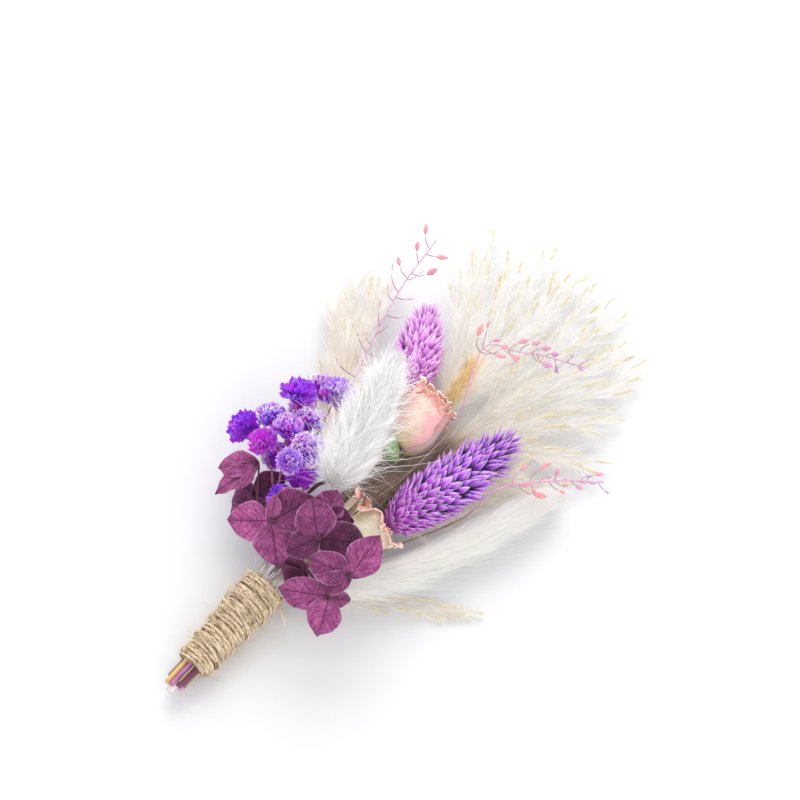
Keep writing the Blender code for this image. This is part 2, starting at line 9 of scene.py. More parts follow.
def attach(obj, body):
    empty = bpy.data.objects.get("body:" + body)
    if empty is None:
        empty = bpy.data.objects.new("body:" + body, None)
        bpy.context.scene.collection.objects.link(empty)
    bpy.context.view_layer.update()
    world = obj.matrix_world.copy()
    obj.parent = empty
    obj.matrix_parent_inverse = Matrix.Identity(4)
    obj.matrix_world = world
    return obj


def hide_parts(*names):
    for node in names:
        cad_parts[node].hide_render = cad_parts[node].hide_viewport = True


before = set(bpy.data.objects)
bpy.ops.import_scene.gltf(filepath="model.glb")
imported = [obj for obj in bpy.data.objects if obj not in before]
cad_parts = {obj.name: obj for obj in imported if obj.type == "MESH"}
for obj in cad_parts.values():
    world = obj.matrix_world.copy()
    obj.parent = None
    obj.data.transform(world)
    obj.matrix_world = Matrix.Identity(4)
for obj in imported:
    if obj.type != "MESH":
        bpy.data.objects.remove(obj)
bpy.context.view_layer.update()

# Shapes are worked out in millimetres in the object's own frame: stems along +Y, floor at z = 0
mm = 0.001
dice = np.random.default_rng(23)
upward = np.array([0.0, 0.0, 1.0])
# how low each kind of point may lie above the floor
lowest = {"hair": 0.05, "ear": 0.1, "sweptHair": 0.25, "shoot": 1.0}
fullTurn = 2 * math.pi

bouquet = bpy.data.collections.new("boutonniereLooks")
bpy.context.scene.collection.children.link(bouquet)


# small vector helpers

def unit(arrows):
    return arrows / np.maximum(np.linalg.norm(arrows, axis=-1, keepdims=True), 1e-9)


def scatterAround(count, spread):
    return dice.normal(0.0, spread, (count, 3))


def drawn(value, count):
    # a number for each strand: drawn from a range, or given
    return dice.uniform(*value, count) if isinstance(value, tuple) else np.broadcast_to(value, count)


def drawnEither(count, share, seldom, often):
    # a share of the strands is drawn from the first range
    return np.where(dice.uniform(0, 1, count) < share, dice.uniform(*seldom, count), often())


def distances(points):
    # how far along a line each of its points is
    return np.concatenate([[0.0], np.cumsum(np.linalg.norm(np.diff(points, axis=0), axis=1))])


def between(goal, run, points):
    # points at the goal distances, where run tells how far along each given point is
    return np.stack([np.interp(goal, run, points[:, k]) for k in range(3)], axis=1)


def smoothLine(points, count):
    # evenly spaced points on a curve through the given ones
    knots = np.array(points, dtype=float)
    if len(knots) == 2:
        return knots[0] + (knots[1] - knots[0]) * np.linspace(0, 1, count)[:, None]
    times = distances(knots)
    order = np.arange(len(knots))
    low, high = np.maximum(order - 1, 0), np.minimum(order + 1, len(knots) - 1)
    slopes = (knots[high] - knots[low]) / (times[high] - times[low])[:, None]
    s = np.linspace(0, 1, 24, endpoint=False)[None, :, None]
    span = np.diff(times)[:, None, None]
    start = knots[:-1, None] * (2 * s**3 - 3 * s**2 + 1) + slopes[:-1, None] * span * (s**3 - 2 * s**2 + s)
    end = knots[1:, None] * (3 * s**2 - 2 * s**3) + slopes[1:, None] * span * (s**3 - s**2)
    dense = np.vstack([(start + end).reshape(-1, 3), knots[-1:]])
    run = distances(dense)
    return between(np.linspace(0, run[-1], count), run, dense)


def alongLine(line, t, reference=upward):
    # point, direction, side and top of a line at each t from 0 to 1
    place = np.clip(t, 0, 1) * (len(line) - 1)
    first = np.minimum(place.astype(int), len(line) - 2)
    point = line[first] + (line[first + 1] - line[first]) * (place - first)[:, None]
    ahead = unit(line[np.minimum(first + 2, len(line) - 1)] - line[np.maximum(first - 1, 0)])
    side = unit(np.cross(ahead, reference))
    return point, ahead, side, np.cross(side, ahead)


def spoke(side, top, turn, flat=1.0):
    # the way out of a line at an angle round it
    return side * np.cos(turn)[:, None] + top * (flat * np.sin(turn))[:, None]


def bent(ends, t):
    # the place at t on the curve that a root, a middle and a tip pull out
    roots, mids, tips = ends
    return roots * (1 - t) ** 2 + mids * 2 * t * (1 - t) + tips * t * t


def joined(groups):
    return [np.vstack(group) for group in zip(*groups)]


def liftOff(height, *groups):
    # nothing goes under the floor
    for points in groups:
        points[..., 2] = np.maximum(points[..., 2], height)


def ripple(points, size, seed):
    # a cheap smooth unevenness from a few crossing waves
    waves = np.random.default_rng(seed)
    total = np.zeros(len(points))
    for k in range(6):
        arrow = waves.normal(0, 1, 3) / size
        total += np.sin(points @ arrow + waves.uniform(0, 6.28)) / 6
    return total


def rippleFlow(points, size, seed, height):
    # the same unevenness as an arrow at each point, flattened to the given height
    return np.stack([ripple(points, size, seed + k) for k in range(3)], axis=1) * np.array([1.0, 1.0, height])


# meshes

def newSheet(alongCount, acrossCount):
    # a flat grid with its own UVs, and where each point lies on it: u from 0 to 1, v from -1 to 1
    bm = bmesh.new()
    bm.loops.layers.uv.new("UVMap")
    bmesh.ops.create_grid(bm, x_segments=alongCount, y_segments=acrossCount, size=1.0, calc_uvs=True)
    flat = np.array([v.co[:] for v in bm.verts])
    return bm, (flat[:, 0] + 1) / 2, flat[:, 1]


def tagPoints(bm, **tags):
    for name, value in tags.items():
        layer = bm.verts.layers.float.get(name) or bm.verts.layers.float.new(name)
        for v, number in zip(bm.verts, np.broadcast_to(value, len(bm.verts))):
            v[layer] = float(number)
    return bm


def shapeSheet(bm, points, merge=0.0, thick=0.0, **tags):
    # moves the points of a sheet, tags them, merges those that meet and thickens the sheet
    for v, point in zip(bm.verts, points):
        v.co = point
    tagPoints(bm, **tags)
    if merge:
        bmesh.ops.remove_doubles(bm, verts=bm.verts[:], dist=merge)
    if thick:
        bmesh.ops.solidify(bm, geom=bm.faces[:], thickness=thick)
    return bm


def moved(bm, matrix):
    bmesh.ops.transform(bm, matrix=matrix, verts=bm.verts[:])
    return bm


def tubeSheet(line, radiusAt, sides, reference=upward, **tags):
    # a grid wrapped round a line, its seam merged and its ends closed
    bm, t, s = newSheet(len(line) - 1, sides)
    turn = (s + 1) * math.pi
    point, ahead, side, top = alongLine(line, t, reference)
    shapeSheet(bm, point + spoke(side, top, turn) * radiusAt(t, turn)[:, None], 0.002, along=t)
    bmesh.ops.holes_fill(bm, edges=[e for e in bm.edges if e.is_boundary], sides=0)
    return tagPoints(bm, **tags)


def ballSheet(centre, radius, sides, rings, **tags):
    bm = bmesh.new()
    bm.loops.layers.uv.new("UVMap")
    bmesh.ops.create_uvsphere(bm, u_segments=sides, v_segments=rings, radius=radius)
    return tagPoints(moved(bm, Matrix.Translation(Vector(centre))), **tags)


def dress(name, mesh, role, finish):
    # a role is a material slot and the nodes that the piece replaces
    slot, *nodes = role
    piece = bpy.data.objects.new(name, mesh)
    bouquet.objects.link(piece)
    mesh.materials.append(finish)
    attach(piece, "root")
    if nodes:
        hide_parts(*nodes)


def pieceFromSheets(name, sheets, role, finish):
    whole = bmesh.new()
    for bm in sheets:
        loose = bpy.data.meshes.new("loose")
        bm.to_mesh(loose)
        bm.free()
        whole.from_mesh(loose)
        bpy.data.meshes.remove(loose)
    bmesh.ops.recalc_face_normals(whole, faces=whole.faces[:])
    bmesh.ops.scale(whole, vec=(mm, mm, mm), verts=whole.verts[:])
    mesh = bpy.data.meshes.new(name)
    whole.to_mesh(mesh)
    whole.free()
    mesh.shade_smooth()
    dress(name, mesh, role, finish)


class Pattern:
    # a small shape that is repeated many times: its points and its triangles
    def __init__(self, bm):
        bm.verts.index_update()
        bmesh.ops.triangulate(bm, faces=bm.faces[:])
        bmesh.ops.recalc_face_normals(bm, faces=bm.faces[:])
        self.points = np.array([v.co[:] for v in bm.verts])
        self.corners = np.array([[v.index for v in f.verts] for f in bm.faces])
        bm.free()


def strandPattern(steps):
    bm = bmesh.new()
    bmesh.ops.create_circle(bm, cap_ends=True, segments=3, radius=1.0)
    rim = bm.edges[:]
    for step in range(steps):
        grown = bmesh.ops.extrude_edge_only(bm, edges=rim)["geom"]
        tipVerts = [g for g in grown if isinstance(g, bmesh.types.BMVert)]
        bmesh.ops.translate(bm, vec=(0, 0, 1 / steps), verts=tipVerts)
        rim = [e for e in bm.edges if e.verts[0] in tipVerts and e.verts[1] in tipVerts]
    bmesh.ops.pointmerge(bm, verts=tipVerts, merge_co=(0, 0, 1))
    return Pattern(bm)


def spikePattern(sides, rings, fullest):
    # a closed spindle from z = 0 to 1 with a blunt root and a sharp tip
    bm = bmesh.new()
    bmesh.ops.create_uvsphere(bm, u_segments=sides, v_segments=rings, radius=1.0)
    for v in bm.verts:
        t = 1 - math.acos(max(-1.0, min(1.0, v.co.z))) / math.pi
        width = (t / fullest) ** 0.5 if t < fullest else ((1 - t) / (1 - fullest)) ** 0.8
        turn = math.atan2(v.co.y, v.co.x)
        pole = abs(v.co.z) > 0.999
        v.co = (0 if pole else width * math.cos(turn), 0 if pole else width * math.sin(turn), t)
    return Pattern(bm)


strand2, strand3, strand4 = (strandPattern(steps) for steps in (2, 3, 4))
scalePattern = spikePattern(4, 6, 0.42)
seedPattern = spikePattern(5, 4, 0.5)
podPattern = spikePattern(8, 6, 0.55)


def repeatedPiece(name, pattern, points, tags, role, finish, smooth=True):
    # points has a row for each copy, and tags a number for each copy or each point
    count, step = points.shape[:2]
    points = points.reshape(-1, 3)
    corners = (pattern.corners[None] + (np.arange(count) * step)[:, None, None]).reshape(-1, 3)
    mesh = bpy.data.meshes.new(name)
    mesh.vertices.add(len(points))
    mesh.vertices.foreach_set("co", (points * mm).astype(np.float32).ravel())
    mesh.loops.add(corners.size)
    mesh.loops.foreach_set("vertex_index", corners.astype(np.int32).ravel())
    mesh.polygons.add(len(corners))
    mesh.polygons.foreach_set("loop_start", np.arange(0, corners.size, 3, dtype=np.int32))
    mesh.update(calc_edges=True)
    mesh.validate()
    for tag, values in {"along": np.tile(pattern.points[:, 2], count), **tags}.items():
        values = values if len(values) == len(points) else np.repeat(values, step)
        layer = mesh.attributes.new(tag, "FLOAT", "POINT")
        layer.data.foreach_set("value", values.astype(np.float32))
    if smooth:
        mesh.shade_smooth()
    dress(name, mesh, role, finish)


def hairs(name, lines, thick, tint, role, finish, pattern=strand3, blunt=0.04):
    # tapered strands, each on its own bent line
    roots, tips = lines[0], lines[2]
    thick, tint = drawn(thick, len(roots)), drawn(tint, len(roots))
    t = pattern.points[:, 2]
    ahead = unit(tips - roots)
    side = unit(np.cross(ahead, dice.normal(0, 1, ahead.shape)))
    other = np.cross(ahead, side)
    width = thick[:, None] * ((1 - t) ** 0.6 * (1 - blunt) + blunt)
    ring = side[:, None] * pattern.points[:, 0, None] + other[:, None] * pattern.points[:, 1, None]
    points = bent([ends[:, None] for ends in lines], t[:, None]) + ring * width[..., None]
    liftOff(lowest["hair"], points)
    repeatedPiece(name, pattern, points, {"tint": tint}, role, finish)


def copies(pattern, origins, lengthways, sideways, upways):
    # each copy's +Z goes lengthways, +X sideways and +Y upways, whose lengths are its size
    arrows = zip((sideways, upways, lengthways), pattern.points.T)
    return origins[:, None] + sum(arrow[:, None] * size[:, None] for arrow, size in arrows)


# materials

class Wire:
    # a node's output that can be used in sums
    def __init__(self, board, socket):
        self.board, self.socket = board, socket

    def __add__(self, other):
        return self.board.sums("ADD", self, other)

    def __sub__(self, other):
        return self.board.sums("SUBTRACT", self, other)

    def __rsub__(self, other):
        return self.board.sums("SUBTRACT", other, self)

    def __mul__(self, other):
        return self.board.sums("MULTIPLY", self, other)

    def __pow__(self, other):
        return self.board.sums("POWER", self, other)

    __radd__ = __add__
    __rmul__ = __mul__


class Finish:
    # one material and the nodes on its board
    looks = {"sheen": "Sheen Weight", "specular": "Specular IOR Level", "soft": "Subsurface Weight",
             "depth": "Subsurface Scale", "glow": "Emission Strength"}

    def __init__(self, name, rough, **chosen):
        self.material = bpy.data.materials.new(name)
        self.material.use_nodes = True
        self.tree = self.material.node_tree
        self.inputs = self.tree.nodes["Principled BSDF"].inputs
        self.inputs["Roughness"].default_value = rough
        for look, value in chosen.items():
            self.inputs[self.looks[look]].default_value = value

    def add(self, kind, values, out=0, **settings):
        node = self.tree.nodes.new("ShaderNode" + kind)
        for key, value in settings.items():
            setattr(node, key, value)
        for key, value in values.items():
            self.feed(node.inputs[key], value)
        return Wire(self, node.outputs[out])

    def feed(self, socket, value):
        if isinstance(value, Wire):
            self.tree.links.new(value.socket, socket)
        else:
            socket.default_value = value

    def sums(self, operation, *terms):
        return self.add("Math", dict(enumerate(terms)), operation=operation)

    def uv(self):
        around = self.add("UVMap", {}, uv_map="UVMap")
        return [self.add("SeparateXYZ", {0: around}, out=k) for k in range(2)]

    def passed(self, low, high):
        # 0 before a stretch of the bunch's length and 1 beyond it
        y = self.add("SeparateXYZ", {0: self.add("TexCoord", {}, out=3)}, out=1)
        return self.within(y, low * mm, high * mm)

    def spot(self, x, y, z=0.0):
        return self.add("CombineXYZ", {0: x, 1: y, 2: z})

    def place(self, stretch=(1, 1, 1)):
        return self.add("Mapping", {"Vector": self.add("TexCoord", {}, out=3), "Scale": stretch})

    def noise(self, size, detail=3.0, vector=None, rough=0.55):
        return self.add("TexNoise", {"Vector": vector or self.place(), "Scale": 1 / (size * mm), "Detail": detail,
                                     "Roughness": rough})

    def tags(self, *names):
        return [self.add("Attribute", {}, out=2, attribute_name=name) for name in names]

    def mix(self, amount, low, high):
        low, high = ((*colour, 1.0) if isinstance(colour, tuple) else colour for colour in (low, high))
        return self.add("Mix", {0: amount, 6: low, 7: high}, out=2, data_type="RGBA")

    def ramp(self, amount, *stops):
        wire = self.add("ValToRGB", {0: amount})
        elements = wire.socket.node.color_ramp.elements
        for k, (place, colour) in enumerate(stops):
            stop = elements[k] if k < 2 else elements.new(place)
            stop.position, stop.color = place, (*colour, 1.0)
        return wire

    def within(self, value, low, high):
        return self.add("MapRange", {0: value, 1: low, 2: high, 3: 0.0, 4: 1.0}, clamp=True)

    def patches(self, size, detail, low, high):
        return self.within(self.noise(size, detail), low, high)

    def finished(self, colour, height=None, strength=0.3, distance=0.08, rough=None, shines=False):
        self.feed(self.inputs["Base Color"], colour)
        if shines:
            self.feed(self.inputs["Emission Color"], colour)
        if rough:
            self.feed(self.inputs["Roughness"], rough)
        if height:
            self.feed(self.inputs["Normal"], self.add("Bump", {"Height": height, "Strength": strength,
                                                               "Distance": distance * mm}))
        return self.material


# the size of a noise whose place is already scaled
asPlaced = 1 / mm
# where along the bunch the plumes turn to their outer colour, and where a stem's upper part turns dark with painted
# shade
outerPlume, shadedStretch = (76, 116), (12, 17)


def hairFinish(name, root, middle, tip, darker, shade=0.5, glow=0.0, outer=None):
    # thin dry hairs let light through, so the pale ones are given a faint light of their own
    f = Finish(name, 0.8, sheen=0.15, specular=0.2, glow=glow)
    along, tint = f.tags("along", "tint")
    base = f.ramp(along, (0.0, root), (0.5, middle), (1.0, tip))
    patchy = f.patches(5.0, 2.0, 0.35, 0.7)
    shaded = f.mix(tint * 0.6 + patchy * 0.25, base, f.mix(shade, base, darker))
    if outer:
        shaded = f.mix(f.passed(*outerPlume) * 0.75, shaded, outer)
    return f.finished(shaded, rough=0.65 + tint * 0.3, shines=glow > 0)


def stemFinish(name, pale, deep, cutPlace, pith, shadedTop=None):
    # long fibres along the stem, darker nodes, a pale cut end and at times a dark upper part, painted shade where it
    # runs in under the flowers
    f = Finish(name, 0.75, specular=0.3)
    fibres = f.noise(1.2, 4.0, f.place((1.0, 0.12, 1.0)))
    streaks = f.within(fibres, 0.35, 0.65)
    body = f.mix(f.patches(6.0, 2.0, 0.45, 0.75) * 0.5, f.mix(streaks, pale, deep), f.mix(0.5, deep, pale))
    # painted shade: from 12 to 17 mm along the bunch the stem darkens to its shaded top colour
    if shadedTop:
        body = f.mix(f.passed(*shadedStretch), body, f.mix(streaks, shadedTop, tuple(0.6 * c for c in shadedTop)))
    cutEnd = f.mix(f.noise(0.3), pith, deep)
    return f.finished(f.mix(f.passed(cutPlace, cutPlace - 0.02), body, cutEnd), fibres, 0.5, 0.12)


print("helpers ready")


# camera, floor and light

photo = {"azimuth": 40.0, "elevation": 60.0, "target": (-11.3, 82.3, 0.0), "distance": 528.9, "lens": 85.0,
         "film": 36.0, "nearest": 10.0}
studio = {"floor": 3.0, "sky": 0.85,
          "lamps": {"window": ((-0.55, 0.75, 0.85), 0.9, 11.0), "fill": ((0.7, -0.5, 0.7), 1.2, 5.0)}}


def putInScene(name, data, place=(0, 0, 0), back=None):
    thing = bpy.data.objects.new(name, data)
    thing.location = place
    if back:
        thing.rotation_euler = (-back).to_track_quat("-Z", "Y").to_euler()
    bpy.context.scene.collection.objects.link(thing)
    return thing


def standCamera():
    turn, rise = math.radians(photo["azimuth"]), math.radians(photo["elevation"])
    back = Vector((math.sin(turn) * math.cos(rise), -math.cos(turn) * math.cos(rise), math.sin(rise)))
    lens = bpy.data.cameras.new("photoCamera")
    lens.lens, lens.sensor_width, lens.clip_start = photo["lens"], photo["film"], photo["nearest"] * mm
    place = (Vector(photo["target"]) + back * photo["distance"]) * mm
    bpy.context.scene.camera = putInScene("photoCamera", lens, place, back)


def layFloor():
    bm = bmesh.new()
    bmesh.ops.create_grid(bm, x_segments=1, y_segments=1, size=studio["floor"])
    bmesh.ops.translate(bm, vec=(0, 0, -0.1 * mm), verts=bm.verts[:])
    mesh = bpy.data.meshes.new("paleFloor")
    bm.to_mesh(mesh)
    bm.free()
    f = Finish("palePaper", 0.8, specular=0.2)
    paper = f.mix(f.noise(40.0, 2.0), (0.73, 0.735, 0.75), (0.76, 0.765, 0.78))
    mesh.materials.append(f.finished(paper, f.noise(0.8), 0.15, 0.2))
    floor = putInScene("paleFloor", mesh)


def hangLights():
    for name, (spot, size, power) in studio["lamps"].items():
        lamp = bpy.data.lights.new(name, "AREA")
        lamp.energy, lamp.size = power, size
        putInScene(name, lamp, Vector(photo["target"]) * mm + Vector(spot), Vector(spot))
    world = bpy.data.worlds.new("paleRoom")
    world.use_nodes = True
    sky = world.node_tree.nodes["Background"].inputs
    sky[0].default_value, sky[1].default_value = (1.0, 1.0, 1.0, 1.0), studio["sky"]
    bpy.context.scene.world = world


standCamera()
layFloor()
hangLights()
print("camera, floor and light ready")


# stem slots in the twine, as in the solids

bundle = {"half": 15.0, "radiusLow": 4.3, "radiusTop": 5.9, "flat": 0.35, "spread": 0.45, "slots": 7,
          "thickRing": 1.98, "thinRing": 2.72}
wrapHalf = bundle["half"]


def skinRadius(y):
    return bundle["radiusLow"] + (bundle["radiusTop"] - bundle["radiusLow"]) * (y + wrapHalf) / (2 * wrapHalf)


def axisHeight(y):
    return skinRadius(y) - bundle["flat"]


def slotPoint(ring, number, y):
    inside = min(max(y, -wrapHalf), wrapHalf)
    spread = ring * (1.0 + bundle["spread"] * (inside + wrapHalf) / (2 * wrapHalf))
    step = fullTurn / bundle["slots"]
    turn = math.pi / 2 + number * step + (step / 2 if ring == bundle["thinRing"] else 0.0)
    return (spread * math.cos(turn), y, axisHeight(inside) + spread * math.sin(turn))


def slotRoute(ring, number, cut, beyond):
    # a stem's route from its cut end through its slot, and then past the given points
    radius = bundle[ring] if ring else 0.0
    return [slotPoint(radius, number, y) for y in (-wrapHalf - cut, -wrapHalf / 3, wrapHalf)] + list(beyond)


# twine wrap

twine = {"turns": 26, "thick": 0.60, "plies": 2, "lay": 2.6, "strands": 8200, "fuzz": 3000, "overTurns": 4.4,
         "frayed": [((-5.2, 3.7, 6.5), (-0.36, 0.93, 0.1)), ((6.2, 12.4, 4.2), (0.86, -0.45, -0.12))],
         "frayedHairs": 18, "sleeveInset": 0.92, "crossingFibres": 0.26, "paleFibres": 0.34, "longFuzz": 0.06}
acrossTwine = np.array([0.0, 1.0, 0.0])
twineRole = ("jute", "twine_wrap")


def twineLine(turns, low, high, lift, first):
    # a coil on the skin of the bundle, and the bundle's axis beside each of its points
    s = np.linspace(0, 1, int(turns * 56))
    turn = s * turns * fullTurn + first
    y = low + s * (high - low)
    y = y + 0.10 * np.sin(turn * 0.5 + 0.7) + 0.07 * np.sin(turn * 1.31) + 0.10 * np.sin(turn * 0.23)
    y = np.clip(y, -wrapHalf + 0.5, wrapHalf - 0.4)
    wobble = 0.07 * np.sin(turn * 0.37) + 0.05 * np.sin(turn * 0.83 + 1.0)
    radius = skinRadius(y) - twine["thick"] * 0.85 + lift + wobble
    centre = axisHeight(y)
    line = np.stack([radius * np.cos(turn), y, centre + radius * np.sin(turn)], axis=1)
    liftOff(twine["thick"] * 0.92, line)
    return line, np.stack([0 * y, y, centre], axis=1)


def jute():
    f = Finish("juteTwine", 0.95, sheen=0.2, specular=0.15)
    u, v = f.uv()
    fibres = f.noise(asPlaced, 5.0, f.spot(u * 260.0, v * 9.0 + u * 420.0), 0.7)
    # the coil is darker than the fibres laid over it: the jute's own streaks, deepened as painted shade for the gaps
    # between fibres
    base = f.ramp(fibres, (0.40, (0.13, 0.06, 0.02)), (0.54, (0.40, 0.26, 0.12)), (0.68, (0.86, 0.70, 0.47)))
    return f.finished(f.mix(f.patches(3.0, 3.0, 0.4, 0.7) * 0.25, base, (0.60, 0.44, 0.26)), fibres, 1.0, 0.6)


def twineSheet(line):
    twist = fullTurn * distances(line)[-1] / twine["lay"]

    def lobes(t, turn):
        ply = np.abs(np.cos((turn + t * twist) * twine["plies"] / 2))
        end = np.minimum(1.0, np.minimum(t, 1 - t) * 500 + 0.4)
        return twine["thick"] * (0.74 + 0.32 * ply) * end * (1 + 0.07 * np.sin(t * 900) + 0.05 * np.sin(t * 2311))
    return tubeSheet(line, lobes, 10, acrossTwine)


def besideAxis(line, axis, t):
    point, ahead, side, top = alongLine(line, t, acrossTwine)
    return point, ahead, unit(point - between(t, np.linspace(0, 1, len(axis)), axis))


def lieFibres(coils, fibre):
    # fibres that lie along the twine and wind round it with its plies
    groups = []
    for coil, axis, count in coils:
        t, run = dice.uniform(0.002, 0.99, count), dice.uniform(1.1, 3.6, count) / distances(coil)[-1]
        across = dice.uniform(0, 1, count) < twine["crossingFibres"]
        offset = dice.uniform(-0.60, 0.60, count)
        slope = np.where(across, dice.uniform(-2.0, 2.0, count), dice.uniform(-0.3, 0.9, count))
        lift = dice.uniform(0.90, 1.28, count)
        group = []
        for k in range(3):
            point, ahead, outward = besideAxis(coil, axis, np.clip(t + run * k / 2, 0, 1))
            shift = np.clip(offset + slope * (k - 1) * 0.5, -1.3, 1.3)
            rise = np.sqrt(np.maximum(1 - shift ** 2, 0.45)) * lift
            group.append(point + (outward * rise[:, None] + np.cross(ahead, outward) * shift[:, None]) * twine["thick"])
        groups.append(group)
    roots, mids, tips = joined(groups)
    count = len(roots)
    thick = dice.uniform(0.06, 0.13, count)
    tint = drawnEither(count, twine["paleFibres"], (0.8, 1.5), lambda: dice.uniform(0.0, 0.3, count))
    hairs("twineFibres", (roots, 2 * mids - (roots + tips) / 2, tips), thick, tint, twineRole, fibre)


def growFuzz(line, axis, fibre):
    count = twine["fuzz"]
    point, ahead, outward = besideAxis(line, axis, dice.uniform(0, 1, count))
    roots = point + outward * twine["thick"] * 0.7 + scatterAround(count, 0.25)
    long = drawnEither(count, twine["longFuzz"], (3.5, 7.5), lambda: dice.gamma(2.0, 0.8, count) + 0.4)[:, None]
    sign = np.where(dice.uniform(0, 1, count) < 0.5, -1.0, 1.0)[:, None]
    way = unit(ahead * sign + outward * dice.uniform(0.05, 0.9, count)[:, None] + scatterAround(count, 0.35))
    mids = roots + way * (long * 0.5) + outward * (long * 0.12)
    tips = roots + way * long + scatterAround(count, 0.25) * long
    hairs("twineFuzz", (roots, mids, tips), (0.018, 0.045), (0, 0.6), twineRole[:1], fibre)

    count = twine["frayedHairs"]
    groups = []
    for seat, way in twine["frayed"]:
        seat, way = np.array(seat), unit(np.array(way))
        groups.append((seat + scatterAround(count, 0.15), seat + way * 2.8 + scatterAround(count, 0.25),
                       seat + way * dice.uniform(3.5, 7.5, count)[:, None] + scatterAround(count, 0.6)))
    hairs("twineEnds", joined(groups), (0.045, 0.09), (0, 0.7), twineRole[:1], fibre)


def windTwine():
    line, axis = twineLine(twine["turns"], -wrapHalf + 0.7, wrapHalf - 0.7, 0.0, 0.0)
    over, overAxis = twineLine(twine["overTurns"], -wrapHalf + 1.5, wrapHalf - 4.0, 0.62, 2.0)
    pieceFromSheets("twineCoil", [twineSheet(line)], twineRole, jute())
    pieceFromSheets("twineOver", [twineSheet(over)], twineRole, jute())
    fibre = hairFinish("juteFibre", (0.90, 0.71, 0.49), (1.0, 0.85, 0.63), (1.0, 0.94, 0.79), (0.15, 0.07, 0.022),
                       1.0, 0.23)
    # the wound layers under the outer turns, dark brown as painted shade in the gaps between them
    y = np.linspace(0.9 - wrapHalf, wrapHalf - 0.9, 30)
    sleeve = tubeSheet(np.stack([0 * y, y, axisHeight(y)], axis=1),
                       lambda t, turn: skinRadius(y[0] + (y[-1] - y[0]) * t) - twine["sleeveInset"], 28, tint=1.0)
    pieceFromSheets("twineSleeve", [sleeve], twineRole, fibre)
    lieFibres([(line, axis, twine["strands"]), (over, overAxis, twine["strands"] // 6)], fibre)
    growFuzz(line, axis, fibre)


windTwine()
print("twine ready")


# stems

def stemSheet(route, radius, sides=10, taper=1.0):
    def swell(t, turn):
        knot = 0.12 * np.exp(-((t * 7.3) % 1.0 - 0.5) ** 2 * 260)
        return radius * (1 + (taper - 1) * t) * (1 + knot + 0.035 * np.sin(turn * 3 + t * 9))
    return tubeSheet(smoothLine(route, 8 * len(route)), swell, sides)


fork, leftFork = (-9.5, 29.0, 14.5), (-17.5, 37.0, 15.5)
middleFork, rightFork = (-15.0, 38.0, 17.5), (-13.0, 45.0, 16.5)
hub = (3.0, 24.0, 14.5)

# centre, radius and joint of each gypsophila head, how pale its edges are and how pink its body
gypsophila = [
    ((-32.4, 42.7, 14.5), 3.8, leftFork, 0.05, 0.15), ((-22.0, 39.1, 23.9), 3.1, leftFork, 0.15, 0.95),
    ((-23.8, 55.6, 25.2), 3.7, middleFork, 0.15, 0.20), ((-25.8, 46.8, 22.4), 3.3, middleFork, 0.75, 0.25),
    ((-19.2, 45.6, 25.3), 3.5, middleFork, 0.60, 0.55), ((-18.7, 53.0, 20.0), 3.5, rightFork, 0.95, 0.35),
    ((-27.4, 66.8, 9.2), 3.4, rightFork, 1.0, 0.40), ((-18.9, 65.3, 17.4), 3.7, rightFork, 0.70, 0.30),
    ((-11.2, 44.8, 24.2), 3.7, rightFork, 1.0, 0.30), ((-20.3, 42.0, 13.6), 3.3, middleFork, 0.70, 0.20),
    ((-10.0, 39.1, 17.7), 3.3, fork, 0.10, 0.45), ((-9.1, 31.5, 19.3), 2.9, fork, 0.20, 0.30),
    ((-25.1, 57.5, 14.2), 3.0, rightFork, 0.65, 0.90), ((-11.0, 46.6, 12.4), 3.0, rightFork, 0.90, 0.35),
    ((-11.7, 38.4, 26.2), 2.6, middleFork, 0.65, 0.25), ((-19.6, 49.1, 12.8), 2.6, rightFork, 0.45, 1.0),
]

# centre, facing, how pale each sepal is, partly its own tone and partly painted light and shade (lit sepals paler,
# shaded ones darker), then angle, length, width and lift of each hydrangea sepal
hydrangea = {
    "a": ((-3.6, 22.1, 27.0), (0.32, -0.38, 0.87), (0.85, 0.62, 0.38, 0.95),
          [(179, 11.5, 10.0, -0.8), (278, 12.3, 10.0, -2.4), (27, 13.0, 11.5, 0.5), (78, 7.4, 3.8, 3.4)]),
    "b": ((9.1, 25.8, 28.0), (0.35, -0.30, 0.89), (0.45, 0.02, 0.08),
          [(99, 10.7, 10.5, 1.0), (352, 13.0, 10.5, -2.0), (204, 9.0, 8.0, -2.0)]),
    "c": ((21.9, 23.2, 27.0), (0.30, -0.40, 0.87), (0.42, 0.72, 0.30),
          [(155, 11.8, 8.5, 0.5), (54, 13.2, 9.0, 2.0), (200, 9.0, 6.0, -1.5)]),
    "d": ((19.3, 18.0, 20.0), (0.30, -0.50, 0.80), (0.62, 0.88, 0.50),
          [(171, 13.5, 8.5, 1.2), (254, 11.3, 9.0, -1.4), (346, 5.5, 5.0, -2.0)]),
    "e": ((-20.4, 34.8, 19.5), (-0.2, -0.35, 0.9), (1.0, 0.72, 1.0),
          [(176, 12.9, 7.4, -1.4), (213, 13.8, 6.6, 2.2), (247, 8.4, 2.6, 3.6)]),
    "f": ((-16.7, 29.4, 11.5), (-0.2, -0.5, 0.85), (0.30, 0.15, 0.0, 0.10),
          [(197, 9.6, 8.5, -1.0), (150, 8.0, 7.0, 0.5), (38, 10.5, 9.0, -1.2), (290, 6.5, 6.0, -1.5)]),
    "g": ((5.4, 31.2, 25.0), (0.3, -0.3, 0.9), (0.55, 0.10, 0.0),
          [(63, 9.0, 8.5, -0.5), (357, 8.6, 8.0, 0.3), (130, 7.0, 6.0, -1.0)]),
    "h": ((10.4, 19.1, 18.0), (0.1, -0.7, 0.7), (0.12, 0.0),
          [(145, 9.0, 7.0, 0.5), (190, 8.0, 6.5, -1.0)]),
}


